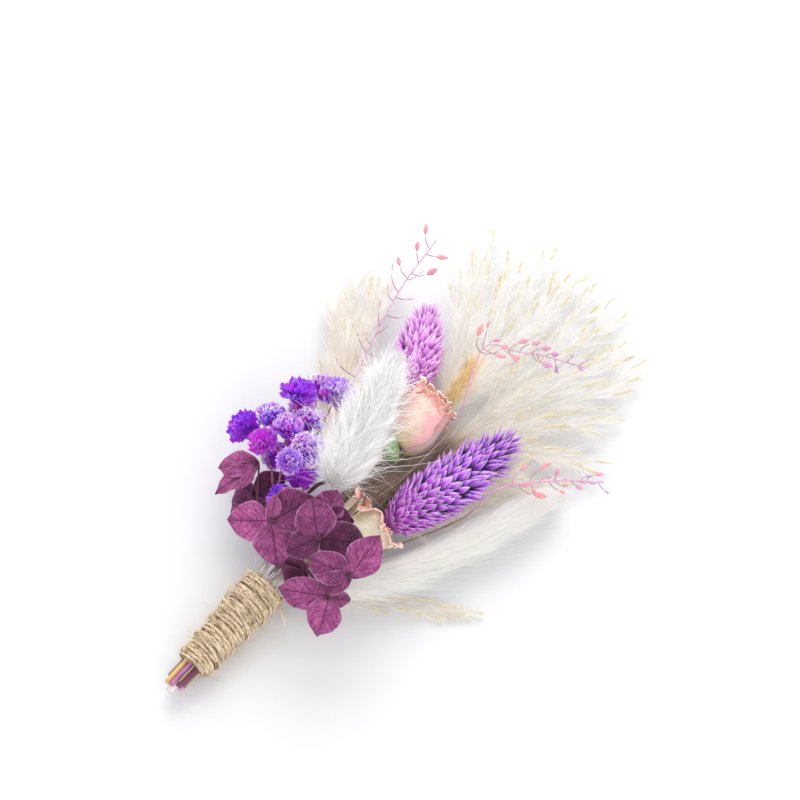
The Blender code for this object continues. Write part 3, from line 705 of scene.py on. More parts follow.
def hydrangeaStems():
    sheets = [stemSheet(slotRoute("thickRing", 0, 7.0, [(1.0, 20.0, 11.5), hub]), 0.66)]
    for letter, flower in hydrangea.items():
        centre, facing = flower[:2]
        end = np.array(centre) - unit(np.array(facing)) * 1.0
        if letter == "e":
            run = [(0.8, 19.5, 11.6), (-6.0, 21.5, 14.5), (-13.0, 26.5, 17.0), end]
        elif letter == "f":
            run = [(0.6, 19.0, 11.2), (-6.0, 20.5, 11.0), (-11.0, 25.5, 7.0), end - np.array([0, 0, 1.2]), end]
        else:
            half = (np.array(hub) + end) / 2 + np.array([0, -0.8, 0.5])
            run = [(hub[0], hub[1], hub[2] - 0.4), half, end]
        sheets.append(stemSheet(run, 0.24 if letter == "e" else 0.30))
    return sheets


def gypsophilaStalks():
    routes = [(slotRoute("thickRing", 2, 6.0, [(-4.5, 21.5, 8.0), fork]), 0.62), ([fork, leftFork], 0.36),
              ([fork, middleFork], 0.36), ([middleFork, rightFork], 0.34)]
    for centre, radius, joint in (head[:3] for head in gypsophila):
        ahead = unit(np.array(centre) - np.array(joint))
        routes.append(([joint, np.array(centre) - ahead * radius * 0.6], 0.24))
    return [stemSheet(route, width) for route, width in routes]


def growStems():
    # the last colour given to some stalks is painted shade for their upper part under the flowers
    mauve = stemFinish("hydrangeaStalk", (0.62, 0.26, 0.48), (0.26, 0.08, 0.18), -21.95, (0.82, 0.56, 0.72),
                       (0.20, 0.06, 0.11))
    wine = stemFinish("gypsophilaStalk", (0.55, 0.22, 0.36), (0.26, 0.07, 0.16), -20.95, (0.75, 0.55, 0.60))
    lilac = stemFinish("phalarisStalk", (0.78, 0.46, 0.72), (0.56, 0.27, 0.54), -20.95, (0.90, 0.76, 0.88))
    amber = stemFinish("bunnyTailStalk", (0.84, 0.62, 0.28), (0.60, 0.38, 0.12), -21.95, (0.94, 0.72, 0.34),
                       (0.11, 0.045, 0.055))
    right = slotRoute("thickRing", 5, 6.0, [(7.0, 25.0, 4.4), (12.3, 38.0, 4.4), (14.7, 48.0, 9.9)])
    back = slotRoute("thickRing", 3, 6.0, [(-3.0, 50.0, 5.5), (-7.0, 83.6, 9.0)])
    tail = slotRoute("thickRing", 1, 7.0, [(-4.0, 24.0, 10.0), (-5.0, 33.0, 16.0), (-3.0, 39.0, 22.5),
                                           (1.3, 42.6, 26.0)])
    for name, sheets, slot, node, finish in (
            ("hydrangeaStems", hydrangeaStems(), "hydrangea_stalk", "hydrangea_stem", mauve),
            ("gypsophilaStalks", gypsophilaStalks(), "gypsophila_stalk", "gypsophila_stems", wine),
            ("phalarisStalkRight", [stemSheet(right, 0.62)], "phalaris_stalk", "phalaris_stem_right", lilac),
            ("phalarisStalkBack", [stemSheet(back, 0.62)], "phalaris_stalk", "phalaris_stem_back", lilac),
            ("bunnyTailStalk", [stemSheet(tail, 0.66, taper=0.7)], "bunny_tail_stalk", "bunny_tail_stem", amber)):
        pieceFromSheets(name, sheets, (slot, node), finish)


growStems()
print("stems ready")


# hydrangea florets

def plumSepals():
    # plum sepals with a midrib, slanting side veins, a fine net between them and paler rims
    f = Finish("hydrangeaSepals", 0.6, sheen=0.1, specular=0.3, soft=0.08, depth=0.0008)
    u, v = f.uv()
    off = f.sums("ABSOLUTE", v * 2.0 - 1.0)
    midrib = 1.0 - f.within(off, 0.02, 0.06)
    side = f.sums("PINGPONG", (u - off * 0.34) * 6.5 + (f.noise(2.0, 2.0) - 0.5) * 1.5, 0.5)
    sideVeins = 1.0 - f.within(side, 0.02, 0.10)
    netPlace = f.spot(u * 24.0 - off * 9.0, v * 9.0 + u * 2.0, f.noise(1.6, 2.0) * 3.0)
    net = f.add("TexVoronoi", {"Vector": netPlace, "Scale": 1.0}, feature="DISTANCE_TO_EDGE")
    netVeins = 1.0 - f.within(net, 0.02, 0.15)
    veins = f.sums("MAXIMUM", f.sums("MAXIMUM", midrib, sideVeins * 0.85), netVeins * 0.50)
    tint, = f.tags("tint")
    patch = f.patches(2.6, 3.0, 0.35, 0.65)
    base = f.mix(patch, (0.080, 0.009, 0.052), (0.190, 0.024, 0.120))
    base = f.mix(tint, base, f.mix(patch, (0.450, 0.070, 0.290), (0.700, 0.165, 0.480)))
    base = f.mix(f.within(net, 0.16, 0.5) * 0.12, base, (0.80, 0.38, 0.62))
    base = f.mix(f.within(off, 0.90, 1.0) * (0.35 + tint * 0.4), base, (0.72, 0.34, 0.58))
    # painted shade: each sepal turns nearly black at its root round the bud
    heart = 1.0 - f.within(u, 0.02, 0.14)
    base = f.mix(heart * 0.7, base, (0.05, 0.008, 0.025))
    return f.finished(f.mix(veins * 0.80, base, (0.040, 0.004, 0.022)), f.noise(0.7) * 0.4 - veins * 0.9, 0.9, 0.3)


def sepalSheet(centre, facing, turn, length, width, lift, seed, pale):
    own = np.random.default_rng(seed)
    facing = unit(np.array(facing))
    level = np.array([math.cos(math.radians(photo["azimuth"])), math.sin(math.radians(photo["azimuth"])), 0.0])
    right = unit(level - facing * facing.dot(level))
    above = np.cross(facing, right)
    out = right * math.cos(math.radians(turn)) + above * math.sin(math.radians(turn))
    across = np.cross(facing, out)
    bm, u, v = newSheet(22, 16)
    off = np.abs(v)
    outline = np.sin(math.pi * np.clip(u, 0, 1) ** 0.97) ** 0.74 * (1 - 0.30 * np.clip((u - 0.78) / 0.22, 0, 1) ** 1.5)
    half = width / 2 * outline * (1 + 0.04 * np.sin(u * 11 + own.uniform(0, 6))) + 0.4 * (1 - u) ** 4
    x, y = length * u, half * v
    fold = 0.8 * off ** 1.3 * np.sin(math.pi * np.minimum(u * 1.1, 1)) * own.uniform(0.5, 1.9)
    wave = own.uniform(0.5, 1.0) * np.sin(u * own.uniform(5, 8) + own.uniform(0, 6)) * v * off
    frill = 0.14 * np.sin(u * own.uniform(20, 27) + np.sign(v) * 1.5 + own.uniform(0, 6)) * off ** 3
    pucker = 0.16 * np.sin(u * 19 - off * 5) * (1 - off ** 4)
    tipCurl = own.uniform(-1.3, 1.3) * np.maximum(u - 0.7, 0) ** 2 * 8
    z = 0.03 * y * y + lift * u * u + 0.35 * np.sin(3.0 * u + v) + fold - 0.25 + wave + frill + pucker + tipCurl
    root = np.array(centre) - out * 0.3
    points = root + x[:, None] * out + y[:, None] * across + z[:, None] * facing
    return shapeSheet(bm, points, 0.003, 0.2, tint=pale, along=u)


def buttonSheets(centre, facing, seed):
    # the small closed bud and its four tiny stubs in the heart of a floret
    own = np.random.default_rng(seed)
    facing = unit(np.array(facing))
    sheets = [ballSheet(np.array(centre) + facing * 0.35, 0.75, 10, 7, tint=0.0, along=0.0)]
    turn = Vector(facing).to_track_quat("Z", "Y").to_matrix().to_4x4()
    lean = Matrix.Rotation(0.5, 4, "X") @ Matrix.Translation((0, 0, 1.0))
    for k in range(4):
        bm = bmesh.new()
        bm.loops.layers.uv.new("UVMap")
        bmesh.ops.create_cone(bm, cap_ends=True, segments=6, radius1=0.16, radius2=0.24, depth=0.9, matrix=lean)
        spin = Matrix.Rotation(k * math.pi / 2 + own.uniform(0, 1), 4, "Z")
        sheets.append(tagPoints(moved(bm, Matrix.Translation(Vector(centre)) @ turn @ spin), tint=0.3, along=0.0))
    return sheets


def openHydrangea():
    finish = plumSepals()
    for place, (letter, (centre, facing, sepalToneAndShade, sepals)) in enumerate(hydrangea.items()):
        sheets = buttonSheets(centre, facing, 900 + place)
        for k, sepal in enumerate(sepals):
            # a sepal's paleness carries its own tone together with painted light and shade
            pale = min(1.0, max(0.0, sepalToneAndShade[k] + dice.uniform(-0.06, 0.06)))
            sheets.append(sepalSheet(centre, facing, *sepal, 40 * place + k, pale))
        pieceFromSheets("hydrangeaFloret_" + letter, sheets, ("hydrangea_plum", "hydrangea_floret_" + letter), finish)


openHydrangea()
print("hydrangea ready")


# gypsophila heads

# petals, rise and reach of each layer of a head
ruffleLayers = [(9, -0.45, 1.05), (9, 0.10, 1.10), (9, 0.50, 1.06), (7, 0.92, 1.0), (5, 1.25, 0.92)]


def ruffleFinish():
    # the ruffles have a faint glow of their own: painted light that lifts the shade between them
    f = Finish("gypsophilaRuffles", 0.7, sheen=0.2, specular=0.25, soft=0.1, depth=0.0006, glow=0.12)
    along, tint, hue = f.tags("along", "tint", "hue")
    deep = f.mix(hue, (0.095, 0.002, 0.36), (0.36, 0.003, 0.36))
    middle = f.mix(hue, (0.27, 0.015, 0.78), (0.66, 0.025, 0.68))
    body = f.mix(f.within(along, 0.15, 0.8), deep, middle)
    edge = f.within(along + (f.noise(0.9, 2.0) - 0.5) * 0.8, 0.77, 0.97) * (0.12 + tint * 0.88)
    ruffle = f.mix(edge, body, f.mix(tint ** 0.6, (0.46, 0.08, 0.90), (1.0, 0.97, 1.0)))
    return f.finished(ruffle, f.noise(0.35, 2.0), 0.35, 0.1, shines=True)


def rufflePetal(length, spread, pleats, seed):
    own = np.random.default_rng(seed)
    bm, u, v = newSheet(5, 12)
    angle = v * spread / 2
    reach = length * u * (1 - 0.12 * v * v + 0.08 * np.sin(v * 14 + seed) * u)
    fold = length * 0.16 * u ** 1.3 * np.sin(v * math.pi * pleats + own.uniform(0, 6))
    curl = length * (0.22 * u * u + 0.36 * np.maximum(u - 0.6, 0) ** 2 * 4)
    across = reach * np.sin(angle) * (0.55 + 0.45 * u ** 0.85)
    return shapeSheet(bm, np.stack([reach * np.cos(angle), across, fold + curl * 0.6], axis=1), 0.004, along=u)


def openGypsophila():
    finish = ruffleFinish()
    for number, (centre, radius, joint, pale, pink) in enumerate(gypsophila, 1):
        own = np.random.default_rng(300 + number)
        centre, radius = np.array(centre), radius * 1.17
        ahead = unit(centre - np.array(joint))
        turnTo = Vector(ahead).to_track_quat("Z", "Y").to_matrix().to_4x4()
        seat = Matrix.Translation(Vector(centre - ahead * radius * 0.12)) @ turnTo
        sheets = []
        for layer, (count, rise, reach) in enumerate(ruffleLayers):
            for k in range(count):
                petal = rufflePetal(radius * reach * own.uniform(0.86, 1.12), 1.25, own.uniform(2.2, 3.6),
                                    number * 97 + layer * 13 + k)
                turn = fullTurn * (k + 0.5 * (layer % 2)) / count + own.uniform(-0.2, 0.2)
                lean = rise + own.uniform(-0.2, 0.2)
                tint = pale + own.uniform(-0.35, 0.25)
                flushed = 0.6 if own.uniform() < 0.12 else 0.0
                hue = pink + own.uniform(-0.35, 0.3) + flushed
                moved(petal, seat @ Matrix.Rotation(turn, 4, "Z") @ Matrix.Rotation(-lean, 4, "Y"))
                sheets.append(tagPoints(petal, tint=min(1.0, max(0.0, tint)), hue=min(1.0, max(0.0, hue))))
        sheets.append(ballSheet(centre - ahead * radius * 0.25, radius * 0.5, 10, 8, along=0.0, tint=0.0, hue=pink))
        pieceFromSheets(f"gypsophilaRuffle_{number:02d}", sheets,
                        ("gypsophila_violet", f"gypsophila_head_{number:02d}"), finish)


openGypsophila()
print("gypsophila ready")


# canary grass heads: keeled pointed scales in close rows

def headRadius(radius, t, blunt=0.75):
    return radius * np.sin(math.pi * np.clip(t, 0, 1) ** blunt) ** 0.6


def onHead(line, radius, t, turn, blunt=0.75):
    point, ahead, side, top = alongLine(line, t)
    out = spoke(side, top, turn)
    return point + out * headRadius(radius, t, blunt)[:, None], ahead, out


def scaleFinish(name, deep, body, light, tip, foot):
    f = Finish(name, 0.5, sheen=0.15, specular=0.35)
    along, tint, rise, margin = f.tags("along", "tint", "rise", "margin")
    # painted shade: the lower part of each scale, under the next row, keeps the deep colour
    base = f.ramp(along, (0.0, deep), (0.38, deep), (0.56, body), (0.84, light), (1.0, tip))
    low = f.mix(f.within(along, 0.25, 0.8), f.mix(0.5, foot, deep), foot)
    base = f.mix((1.0 - f.within(rise, 0.0, 0.45)) * 0.6, base, low)
    base = f.mix(f.patches(0.35, 2.0, 0.45, 0.75) * 0.3, base, light)
    # pale margins: partly the scales' own pale wings and partly a painted highlight
    base = f.mix(f.within(margin, 0.45, 0.95) * f.within(along, 0.3, 0.7) * 0.85, base, tip)
    return f.finished(f.mix(tint * 0.6, base, f.mix(0.7, base, deep)), f.noise(0.25, 2.0))


phalaris = {
    "Right": {"role": ("phalaris_violet", "phalaris_head_right"), "base": (14.6, 45.6, 9.8), "tip": (24.5, 85.4, 12.6),
              "radius": 6.8, "rows": 33, "around": 17, "scale": 5.6,
              "look": ("phalarisVioletScales", (0.07, 0.001, 0.20), (0.40, 0.035, 0.74), (0.71, 0.25, 0.94),
                       (1.0, 0.86, 1.0), (0.78, 0.09, 0.62))},
    "Back": {"role": ("phalaris_orchid", "phalaris_head_back"), "base": (-7.2, 82.0, 9.2), "tip": (-19.8, 104.2, 9.4),
             "radius": 6.4, "rows": 24, "around": 18, "scale": 4.7,
             "look": ("phalarisOrchidScales", (0.44, 0.05, 0.50), (0.76, 0.27, 0.79), (0.92, 0.56, 0.92),
                      (0.98, 0.78, 0.96), (0.74, 0.18, 0.66))},
}


def clothePhalaris(which, head):
    finish = scaleFinish(*head["look"])
    line = smoothLine([head["base"], head["tip"]], 12)
    rows, around = head["rows"], head["around"]
    row = np.repeat(np.arange(rows), around)
    turn = np.tile(np.arange(around), rows) * fullTurn / around + (row % 2) * math.pi / around
    count = len(row)
    t = np.clip((row + dice.uniform(-0.3, 0.3, count)) / (rows - 1), 0, 1) ** 1.25
    t = np.clip(0.012 + 0.955 * t, 0.0, 0.985)
    turn = turn + dice.uniform(-0.13, 0.13, count) + row * 0.05
    seat, ahead, out = onHead(line, head["radius"] - 1.7, t, turn)
    lean = dice.uniform(0.40, 1.0, count) + 0.5 * (1 - t) ** 4 - 0.15 * t ** 2
    way = unit(ahead + out * lean[:, None] + scatterAround(count, 0.08))
    long = head["scale"] * dice.uniform(0.72, 1.2, count) * (0.56 + 0.44 * np.sin(math.pi / 2 * np.clip(t * 1.9, 0, 1)))
    sideways = unit(np.cross(way, out))
    wide = fullTurn * np.maximum(headRadius(head["radius"], t), 2.4) / around * dice.uniform(0.42, 0.56, count)
    points = copies(scalePattern, seat - way * 0.5, way * long[:, None], sideways * wide[:, None],
                    np.cross(sideways, way) * (wide * 0.62)[:, None])
    girth = np.maximum(np.linalg.norm(scalePattern.points[:, :2], axis=1), 1e-6)
    tags = {"tint": dice.uniform(0, 1, count), "rise": t,
            "margin": np.tile(np.abs(scalePattern.points[:, 0]) / girth, count)}
    repeatedPiece("phalarisScales" + which, scalePattern, points, tags, head["role"], finish, smooth=False)

    # the core under the scales takes the deep colour, painted shade between them
    core = tubeSheet(line, lambda t, turn: np.maximum(headRadius(head["radius"] - 1.6, t), 0.02), 14,
                     tint=1.0, rise=0.5, along=0.0)
    pieceFromSheets("phalarisCore" + which, [core], head["role"], finish)


for which, head in phalaris.items():
    clothePhalaris(which, head)
print("canary grass ready")


# bunny tail: a dense soft coat with long loose hairs over a small core

bunnyTail = {"base": (1.3, 40.2, 25.9), "tip": (-9.9, 80.7, 27.9), "radius": 5.5, "blunt": 0.62,
             "coat": 19500, "coatLong": 4.6, "coatTop": (37.6, 38.5),
             "loose": 2300, "looseLong": 9.5, "looseTop": (36.0, 37.0)}
tailRole = ("bunny_tail_fur", "bunny_tail_head")


def furLines(line, t, long, lean, sink, highest, stray=0.34):
    count = len(t)
    turn = dice.uniform(0, fullTurn, count)
    roots, ahead, out = onHead(line, bunnyTail["radius"] - sink, t, turn, bunnyTail["blunt"])
    clump = unit(rippleFlow(roots, 4.0, 1, 1.0)) * 0.08
    way = unit(ahead + out * lean[:, None] + clump + scatterAround(count, stray))
    mids = roots + way * (long * 0.5)[:, None] + out * (long * 0.06)[:, None]
    tips = roots + unit(way + ahead * 0.26 + scatterAround(count, 0.24)) * long[:, None]
    for points in (mids, tips):
        points[:, 2] = np.minimum(points[:, 2], dice.uniform(*highest, count))
    return roots, mids, tips


def growBunnyTail():
    line = smoothLine([bunnyTail["base"], bunnyTail["tip"]], 12)
    fur = hairFinish("bunnyTailFur", (0.64, 0.605, 0.585), (0.895, 0.885, 0.882), (0.985, 0.983, 0.982),
                     (0.55, 0.525, 0.525), 0.60, 0.11)
    guard = hairFinish("bunnyTailGuardHairs", (0.95, 0.95, 0.95), (0.98, 0.98, 0.98), (1.0, 1.0, 1.0),
                       (0.86, 0.85, 0.84), 0.3, 0.34)
    count = bunnyTail["coat"]
    t = dice.beta(1.0, 1.05, count) * 0.99
    long = bunnyTail["coatLong"] * dice.gamma(10.0, 1 / 10.0, count) * (0.85 + 0.30 * np.sin(math.pi * t))
    long = long * (1 - 0.55 * np.clip((t - 0.68) / 0.26, 0, 1))
    lean = dice.uniform(0.12, 1.0, count) + 2.2 * (1 - t) ** 9 + 0.9 * (1 - t) ** 4
    coat = furLines(line, t, long, lean, 1.5, bunnyTail["coatTop"])
    hairs("bunnyTailFur", coat, (0.018, 0.040), (0, 0.95), tailRole, fur, strand2)
    count = bunnyTail["loose"]
    t = dice.uniform(0.0, 0.88, count)
    bold = dice.uniform(0, 1, count) < 0.045
    long = bunnyTail["looseLong"] * dice.gamma(6.0, 1 / 6.0, count) * (1 - 0.4 * t) * np.where(bold, 1.45, 1.0)
    loose = furLines(line, t, long, dice.uniform(0.2, 1.7, count), 1.0, bunnyTail["looseTop"], 0.60)
    thick = dice.uniform(0.024, 0.046, count) + 0.028 * bold
    hairs("bunnyTailLooseHairs", loose, thick, (0, 0.5), tailRole, guard, strand4)

    def swell(t, turn):
        rim = headRadius(bunnyTail["radius"] - 1.3, t, bunnyTail["blunt"])
        return np.maximum(rim, 0.02) * (1 + 0.05 * np.sin(turn * 7 + t * 40))
    pieceFromSheets("bunnyTailCore", [tubeSheet(line, swell, 18, tint=0.3, along=0.4)], tailRole, fur)


growBunnyTail()
print("bunny tail ready")


# roses

# petals set evenly round in each layer: count, first angle, span, height, radius, curl, wave, pinkness and roll
# sepals: angle, length, width, droop, curl and roll
roses = {
    "Upper": {"role": ("rose_blush", "rose_bloom_upper"), "seed": 1200, "crinkle": 0.60,
              "base": (2.2, 64.6, 13.6), "tip": (0.4, 85.9, 15.6),
              "look": ("roseBlushPetals", (0.74, 0.62, 0.33), (0.83, 0.62, 0.53), (0.78, 0.31, 0.37),
                       (0.78, 0.28, 0.17), (0.98, 0.88, 0.82), (0.80, 0.38, 0.36), (0.55, 0.20, 0.16), 1.3),
              "petals": [(3, 40, 135, 19.0, 6.2, -1.6, 0.25, 0.35, 0.6), (4, 6, 104, 17.4, 7.3, -0.7, 0.60, 0.15, 1.5),
                         (3, 80, 150, 19.2, 4.8, -0.9, 0.50, 0.45, 0.9), (3, 20, 160, 18.8, 3.5, -0.2, 0.50, 0.60, 0.8),
                         (2, 60, 170, 18.2, 2.1, 0.2, 0.30, 0.70, 0.2)],
              "stemRole": ("rose_sepal", "rose_stem_upper"), "width": 0.95, "hip": 2.3,
              "route": ("", 0, 8.0, [(1.0, 40.0, 8.5)]),
              # the last bark colour is painted shade on the stem's upper part
              "bark": ("rosePaleStem", (0.92, 0.87, 0.84), (0.76, 0.66, 0.64), -22.95, (0.95, 0.90, 0.86),
                       (0.22, 0.15, 0.11)),
              "sepals": [(20, 3.2, 1.8, -40, 0.5, 1.0), (165, 4.0, 2.4, -35, 0.8, 1.4),
                         (285, 3.2, 1.8, -30, 0.5, 1.0)]},
    "Lower": {"role": ("rose_cream", "rose_bloom_lower"), "seed": 1400, "crinkle": 0.85,
              "base": (9.8, 32.2, 15.0), "tip": (13.2, 45.1, 17.0),
              "look": ("roseCreamPetals", (0.74, 0.66, 0.38), (0.92, 0.83, 0.63), (0.90, 0.62, 0.50),
                       (0.80, 0.30, 0.25), (0.98, 0.91, 0.82), (0.60, 0.50, 0.24), (0.62, 0.46, 0.30), 2.4),
              "petals": [(3, 30, 105, 13.6, 5.6, 0.8, 0.70, 0.10, 2.4), (4, 28, 92, 14.4, 7.3, 1.6, 0.80, 0.0, 3.0),
                         (4, 60, 120, 13.4, 4.4, 0.5, 0.60, 0.30, 1.8), (3, 10, 150, 12.8, 3.2, 0.3, 0.40, 0.60, 1.2),
                         (2, 40, 170, 12.2, 2.0, 0.1, 0.30, 0.60, 0.6)],
              "stemRole": ("rose_sepal", "rose_stem_lower"), "width": 0.66, "hip": 1.8,
              "route": ("thickRing", 6, 6.0, [(5.0, 22.0, 9.0)]),
              "bark": ("roseMaroonStem", (0.30, 0.09, 0.13), (0.12, 0.03, 0.05), -20.95, (0.60, 0.42, 0.36)),
              "sepals": [(turn, 4.0, 2.0, 30, 0.6, 1.0) for turn in (30, 150, 270)]},
}
scroll = {"open": (0.6, 62.3, 20.6), "low": (5.2, 61.2, 13.0), "radius": 2.35, "turns": 1.25}


def petalFinish(name, foot, body, flush, lip, pale, vein, tuckedShade, wrinkle):
    # cream in the middle of a petal, pink to its sides, a crinkled darker lip, a thin pale edge and painted shade on
    # the side that tucks under the next petal
    f = Finish(name, 0.6, sheen=0.15, specular=0.3, soft=0.12, depth=0.001)
    v = f.uv()[1]
    along, tint = f.tags("along", "tint")
    off = f.sums("ABSOLUTE", v * 2.0 - 1.0)
    colour = f.ramp(along + (f.noise(3.0, 2.0) - 0.5) * 0.25, (0.0, foot), (0.32, body), (0.80, body), (1.0, flush))
    pink = f.within(off * 0.8 + (f.noise(3.5, 3.0) - 0.5) * 1.4 + tint * 0.6, 0.20, 0.95)
    lips = f.within(along + (f.noise(1.3, 3.0) - 0.5) * 0.30, 0.80, 0.95)
    veins = f.noise(asPlaced, 4.0, f.spot(along * 2.0, v * 30.0), 0.6)
    edge = f.within(f.sums("MAXIMUM", along, off * 0.984), 0.965, 0.985)
    for amount, layer in ((pink * 0.85, flush), ((1.0 - f.within(v, 0.10, 0.34)) * 0.55, tuckedShade), (lips * 0.85, lip),
                          (f.within(veins, 0.50, 0.68) * 0.50, vein), (edge * 0.85, pale),
                          (f.patches(0.7, 2.0, 0.66, 0.74) * 0.5, (0.40, 0.20, 0.10))):
        colour = f.mix(amount, colour, layer)
    return f.finished(colour, veins * 0.6 + f.noise(0.7, 3.0) * 0.4 + f.noise(2.2, 3.0) * wrinkle, 0.8, 0.45)


def rosePetal(turn, span, height, radius, curl, wave, seed, tint, crinkle, roll):
    own = np.random.default_rng(seed)
    bm, u, v = newSheet(30, 44)
    swell = np.sin(math.pi * np.minimum(0.11 + 0.78 * u ** 0.8, 0.58)) ** 0.9
    lip = curl * np.maximum(u - 0.55, 0) ** 1.5 * 3.0
    wide = 0.6 + 0.4 * np.sin(math.pi * np.minimum(u + 0.2, 0.75))
    angle = turn + v * span / 2 * wide
    flare = 1.15 * np.clip((v - 0.60) / 0.40, 0, 1) ** 2 * u ** 0.5
    away = radius * swell + lip + 0.55 * v + 0.35 + flare + wave * u * u * np.sin(4.0 * v + turn)
    seat = np.stack([u * height, np.cos(angle) * radius, np.sin(angle) * radius], axis=1)
    creases = ripple(seat, 2.2, seed) * 0.6 + ripple(seat, 0.8, seed + 1) * 0.3
    away = away + crinkle * creases * (0.25 + u ** 2 * 1.4)
    # beyond the fold the petal rolls back on itself
    fold = 0.84 + 0.05 * np.sin(v * own.uniform(3, 6) + own.uniform(0, 6))
    past = np.maximum(u - fold, 0) / (1 - fold)
    bend = past * (roll * own.uniform(0.6, 1.3) + 0.02)
    tight = (1 - fold) * height / (roll + 0.02)
    rise = height * np.minimum(u, fold) + tight * np.sin(bend)
    away = away + tight * (1 - np.cos(bend))
    frill = 0.40 * np.sin(v * own.uniform(13, 19) + seed) + 0.34 * np.sin(v * own.uniform(24, 33) + 2 * seed)
    frill = frill + 0.20 * np.sin(v * own.uniform(40, 50) + 3 * seed)
    away = away + frill * past ** 0.8 * (0.5 + crinkle)
    rise = rise * (1.0 - 0.2 * v * v * u) + past * (0.7 * np.sin(v * own.uniform(6, 11) + seed))
    points = np.stack([rise, away * np.cos(angle), away * np.sin(angle)], axis=1)
    return shapeSheet(bm, points, thick=0.16, along=u, tint=tint)


def seatPiece(bm, rose):
    # +X of the flower goes from its base to its tip, as in the solids
    base = Vector(rose["base"])
    x = (Vector(rose["tip"]) - base).normalized()
    y = Vector((0, 0, 1)).cross(x).normalized()
    return moved(bm, Matrix.Translation(base) @ Matrix((x, y, x.cross(y))).transposed().to_4x4())


def openRose(name, rose):
    sheets = []
    for layer, (count, start, span, height, radius, curl, wave, pink, roll) in enumerate(rose["petals"]):
        for k in range(count):
            turn = math.radians(start) + k * fullTurn / count
            shade = max(0.0, pink + dice.uniform(-0.15, 0.25))
            petal = rosePetal(turn, math.radians(span), height * dice.uniform(0.96, 1.03), radius, curl, wave,
                              rose["seed"] + layer * 10 + k, shade, rose["crinkle"], roll)
            sheets.append(seatPiece(petal, rose))
    heart = tubeSheet(smoothLine([(0.5, 0, 0), (rose["petals"][-1][3] * 0.8, 0, 0)], 9),
                      lambda t, turn: 1.6 * np.sin(math.pi * np.clip(t, 0.02, 0.98)) ** 0.5, 10, tint=0.8)
    pieceFromSheets(name, sheets + [seatPiece(heart, rose)], rose["role"], petalFinish(*rose["look"]))


def sepalFinish():
    f = Finish("roseSepals", 0.55, specular=0.35)
    along, rise = f.tags("along", "rise")
    fibres = f.noise(1.0, 4.0)
    base = f.ramp(fibres, (0.3, (0.15, 0.26, 0.08)), (0.55, (0.30, 0.45, 0.17)), (0.8, (0.48, 0.62, 0.32)))
    # painted shade: darker towards the cup's top under the petals and in the scroll's inner turns
    base = f.mix(along * 0.7, base, (0.05, 0.08, 0.02))
    # painted highlight: a pale band along the scroll's top end
    return f.finished(f.mix(f.within(rise, 0.90, 0.97) * 0.85, base, (0.84, 0.88, 0.74)), fibres, 0.5, 0.2)


def calyxSheet(seat, ahead, hip, turn, length, width, droop, curl, roll):
    side = unit(np.cross(ahead, upward))
    out = side * math.cos(math.radians(turn)) + np.cross(side, ahead) * math.sin(math.radians(turn))
    root = seat + ahead * hip * 1.35 + out * hip * 0.55
    bm, u, v = newSheet(16, 8)
    half = width / 2 * np.maximum(np.sin(math.pi * np.minimum(u * 0.92 + 0.06, 1.0)), 0.02) ** 0.8
    bend = math.radians(droop) + curl * u
    reach, lift = length * u * np.cos(bend), -length * u * np.sin(bend) + half * (np.cosh(v * roll) - 1) * 0.55
    wide = half * np.sin(v * min(roll, 1.5))
    points = root + out * reach[:, None] + ahead * lift[:, None] + np.cross(ahead, out) * wide[:, None]
    return shapeSheet(bm, points, thick=0.25, rise=0.0)


def scrollSheet():
    # the sepal that dried into a little scroll
    bm, u, v = newSheet(18, 30)
    start, end = np.array(scroll["open"]), np.array(scroll["low"])
    ahead = unit(end - start)
    side = unit(np.cross(ahead, upward))
    wound = (v + 1) / 2
    turn = 2.4 - wound * scroll["turns"] * fullTurn
    radius = scroll["radius"] * (1 - 0.50 * wound) * (1 - 0.85 * u ** 4) * (0.88 + 0.16 * np.sin(2.5 * u + 0.6))
    place = start + (end - start) * (u + 0.10 * wound * (1 - u) - 0.06 * (1 - u) * (1 - wound))[:, None]
    points = place + spoke(side, np.cross(side, ahead), turn) * radius[:, None]
    return shapeSheet(bm, points, thick=0.22, rise=1 - u, along=np.clip(wound * 2.2 - 0.9, 0, 1))


def growRoseStem(name, rose, green, extra):
    base, tip, hip = np.array(rose["base"]), np.array(rose["tip"]), rose["hip"]
    ahead = unit(tip - base)
    seat = base - ahead * (0.3 + 2 * hip)
    route = slotRoute(*rose["route"]) + [tuple(seat + ahead * hip * 0.8)]
    pieceFromSheets(name, [stemSheet(route, rose["width"], 12)], rose["stemRole"], stemFinish(*rose["bark"]))

    def swell(t, turn):
        rim = np.maximum(np.sin(math.pi * np.clip(t, 0.0, 1.0) ** 0.75), 0.02)
        return hip * rim ** 0.6 * (1 + 0.04 * np.sin(turn * 5))
    cup = tubeSheet(smoothLine([seat, base + ahead * 0.6], 12), swell, 16, rise=0.0)
    calyx = [calyxSheet(seat, ahead, hip, *sepal) for sepal in rose["sepals"]]
    pieceFromSheets(name + "Calyx", [cup, *calyx, *extra], rose["stemRole"], green)


for which, rose in roses.items():
    openRose("rose" + which, rose)
sepalGreen = sepalFinish()
growRoseStem("roseStemUpper", roses["Upper"], sepalGreen, [scrollSheet()])
growRoseStem("roseStemLower", roses["Lower"], sepalGreen, [])
print("roses ready")


# pepper grass: small flat pods on thin curved pedicels

def podFinish():
    f = Finish("pepperGrassPods", 0.55, specular=0.35)
    base = f.ramp(*f.tags("tint"), (0.0, (0.52, 0.26, 0.62)), (0.45, (0.70, 0.27, 0.42)), (1.0, (0.76, 0.26, 0.25)))
    return f.finished(f.mix(f.patches(0.6, 3.0, 0.4, 0.7) * 0.55, base, (0.90, 0.58, 0.64)), f.noise(0.4, 2.0))


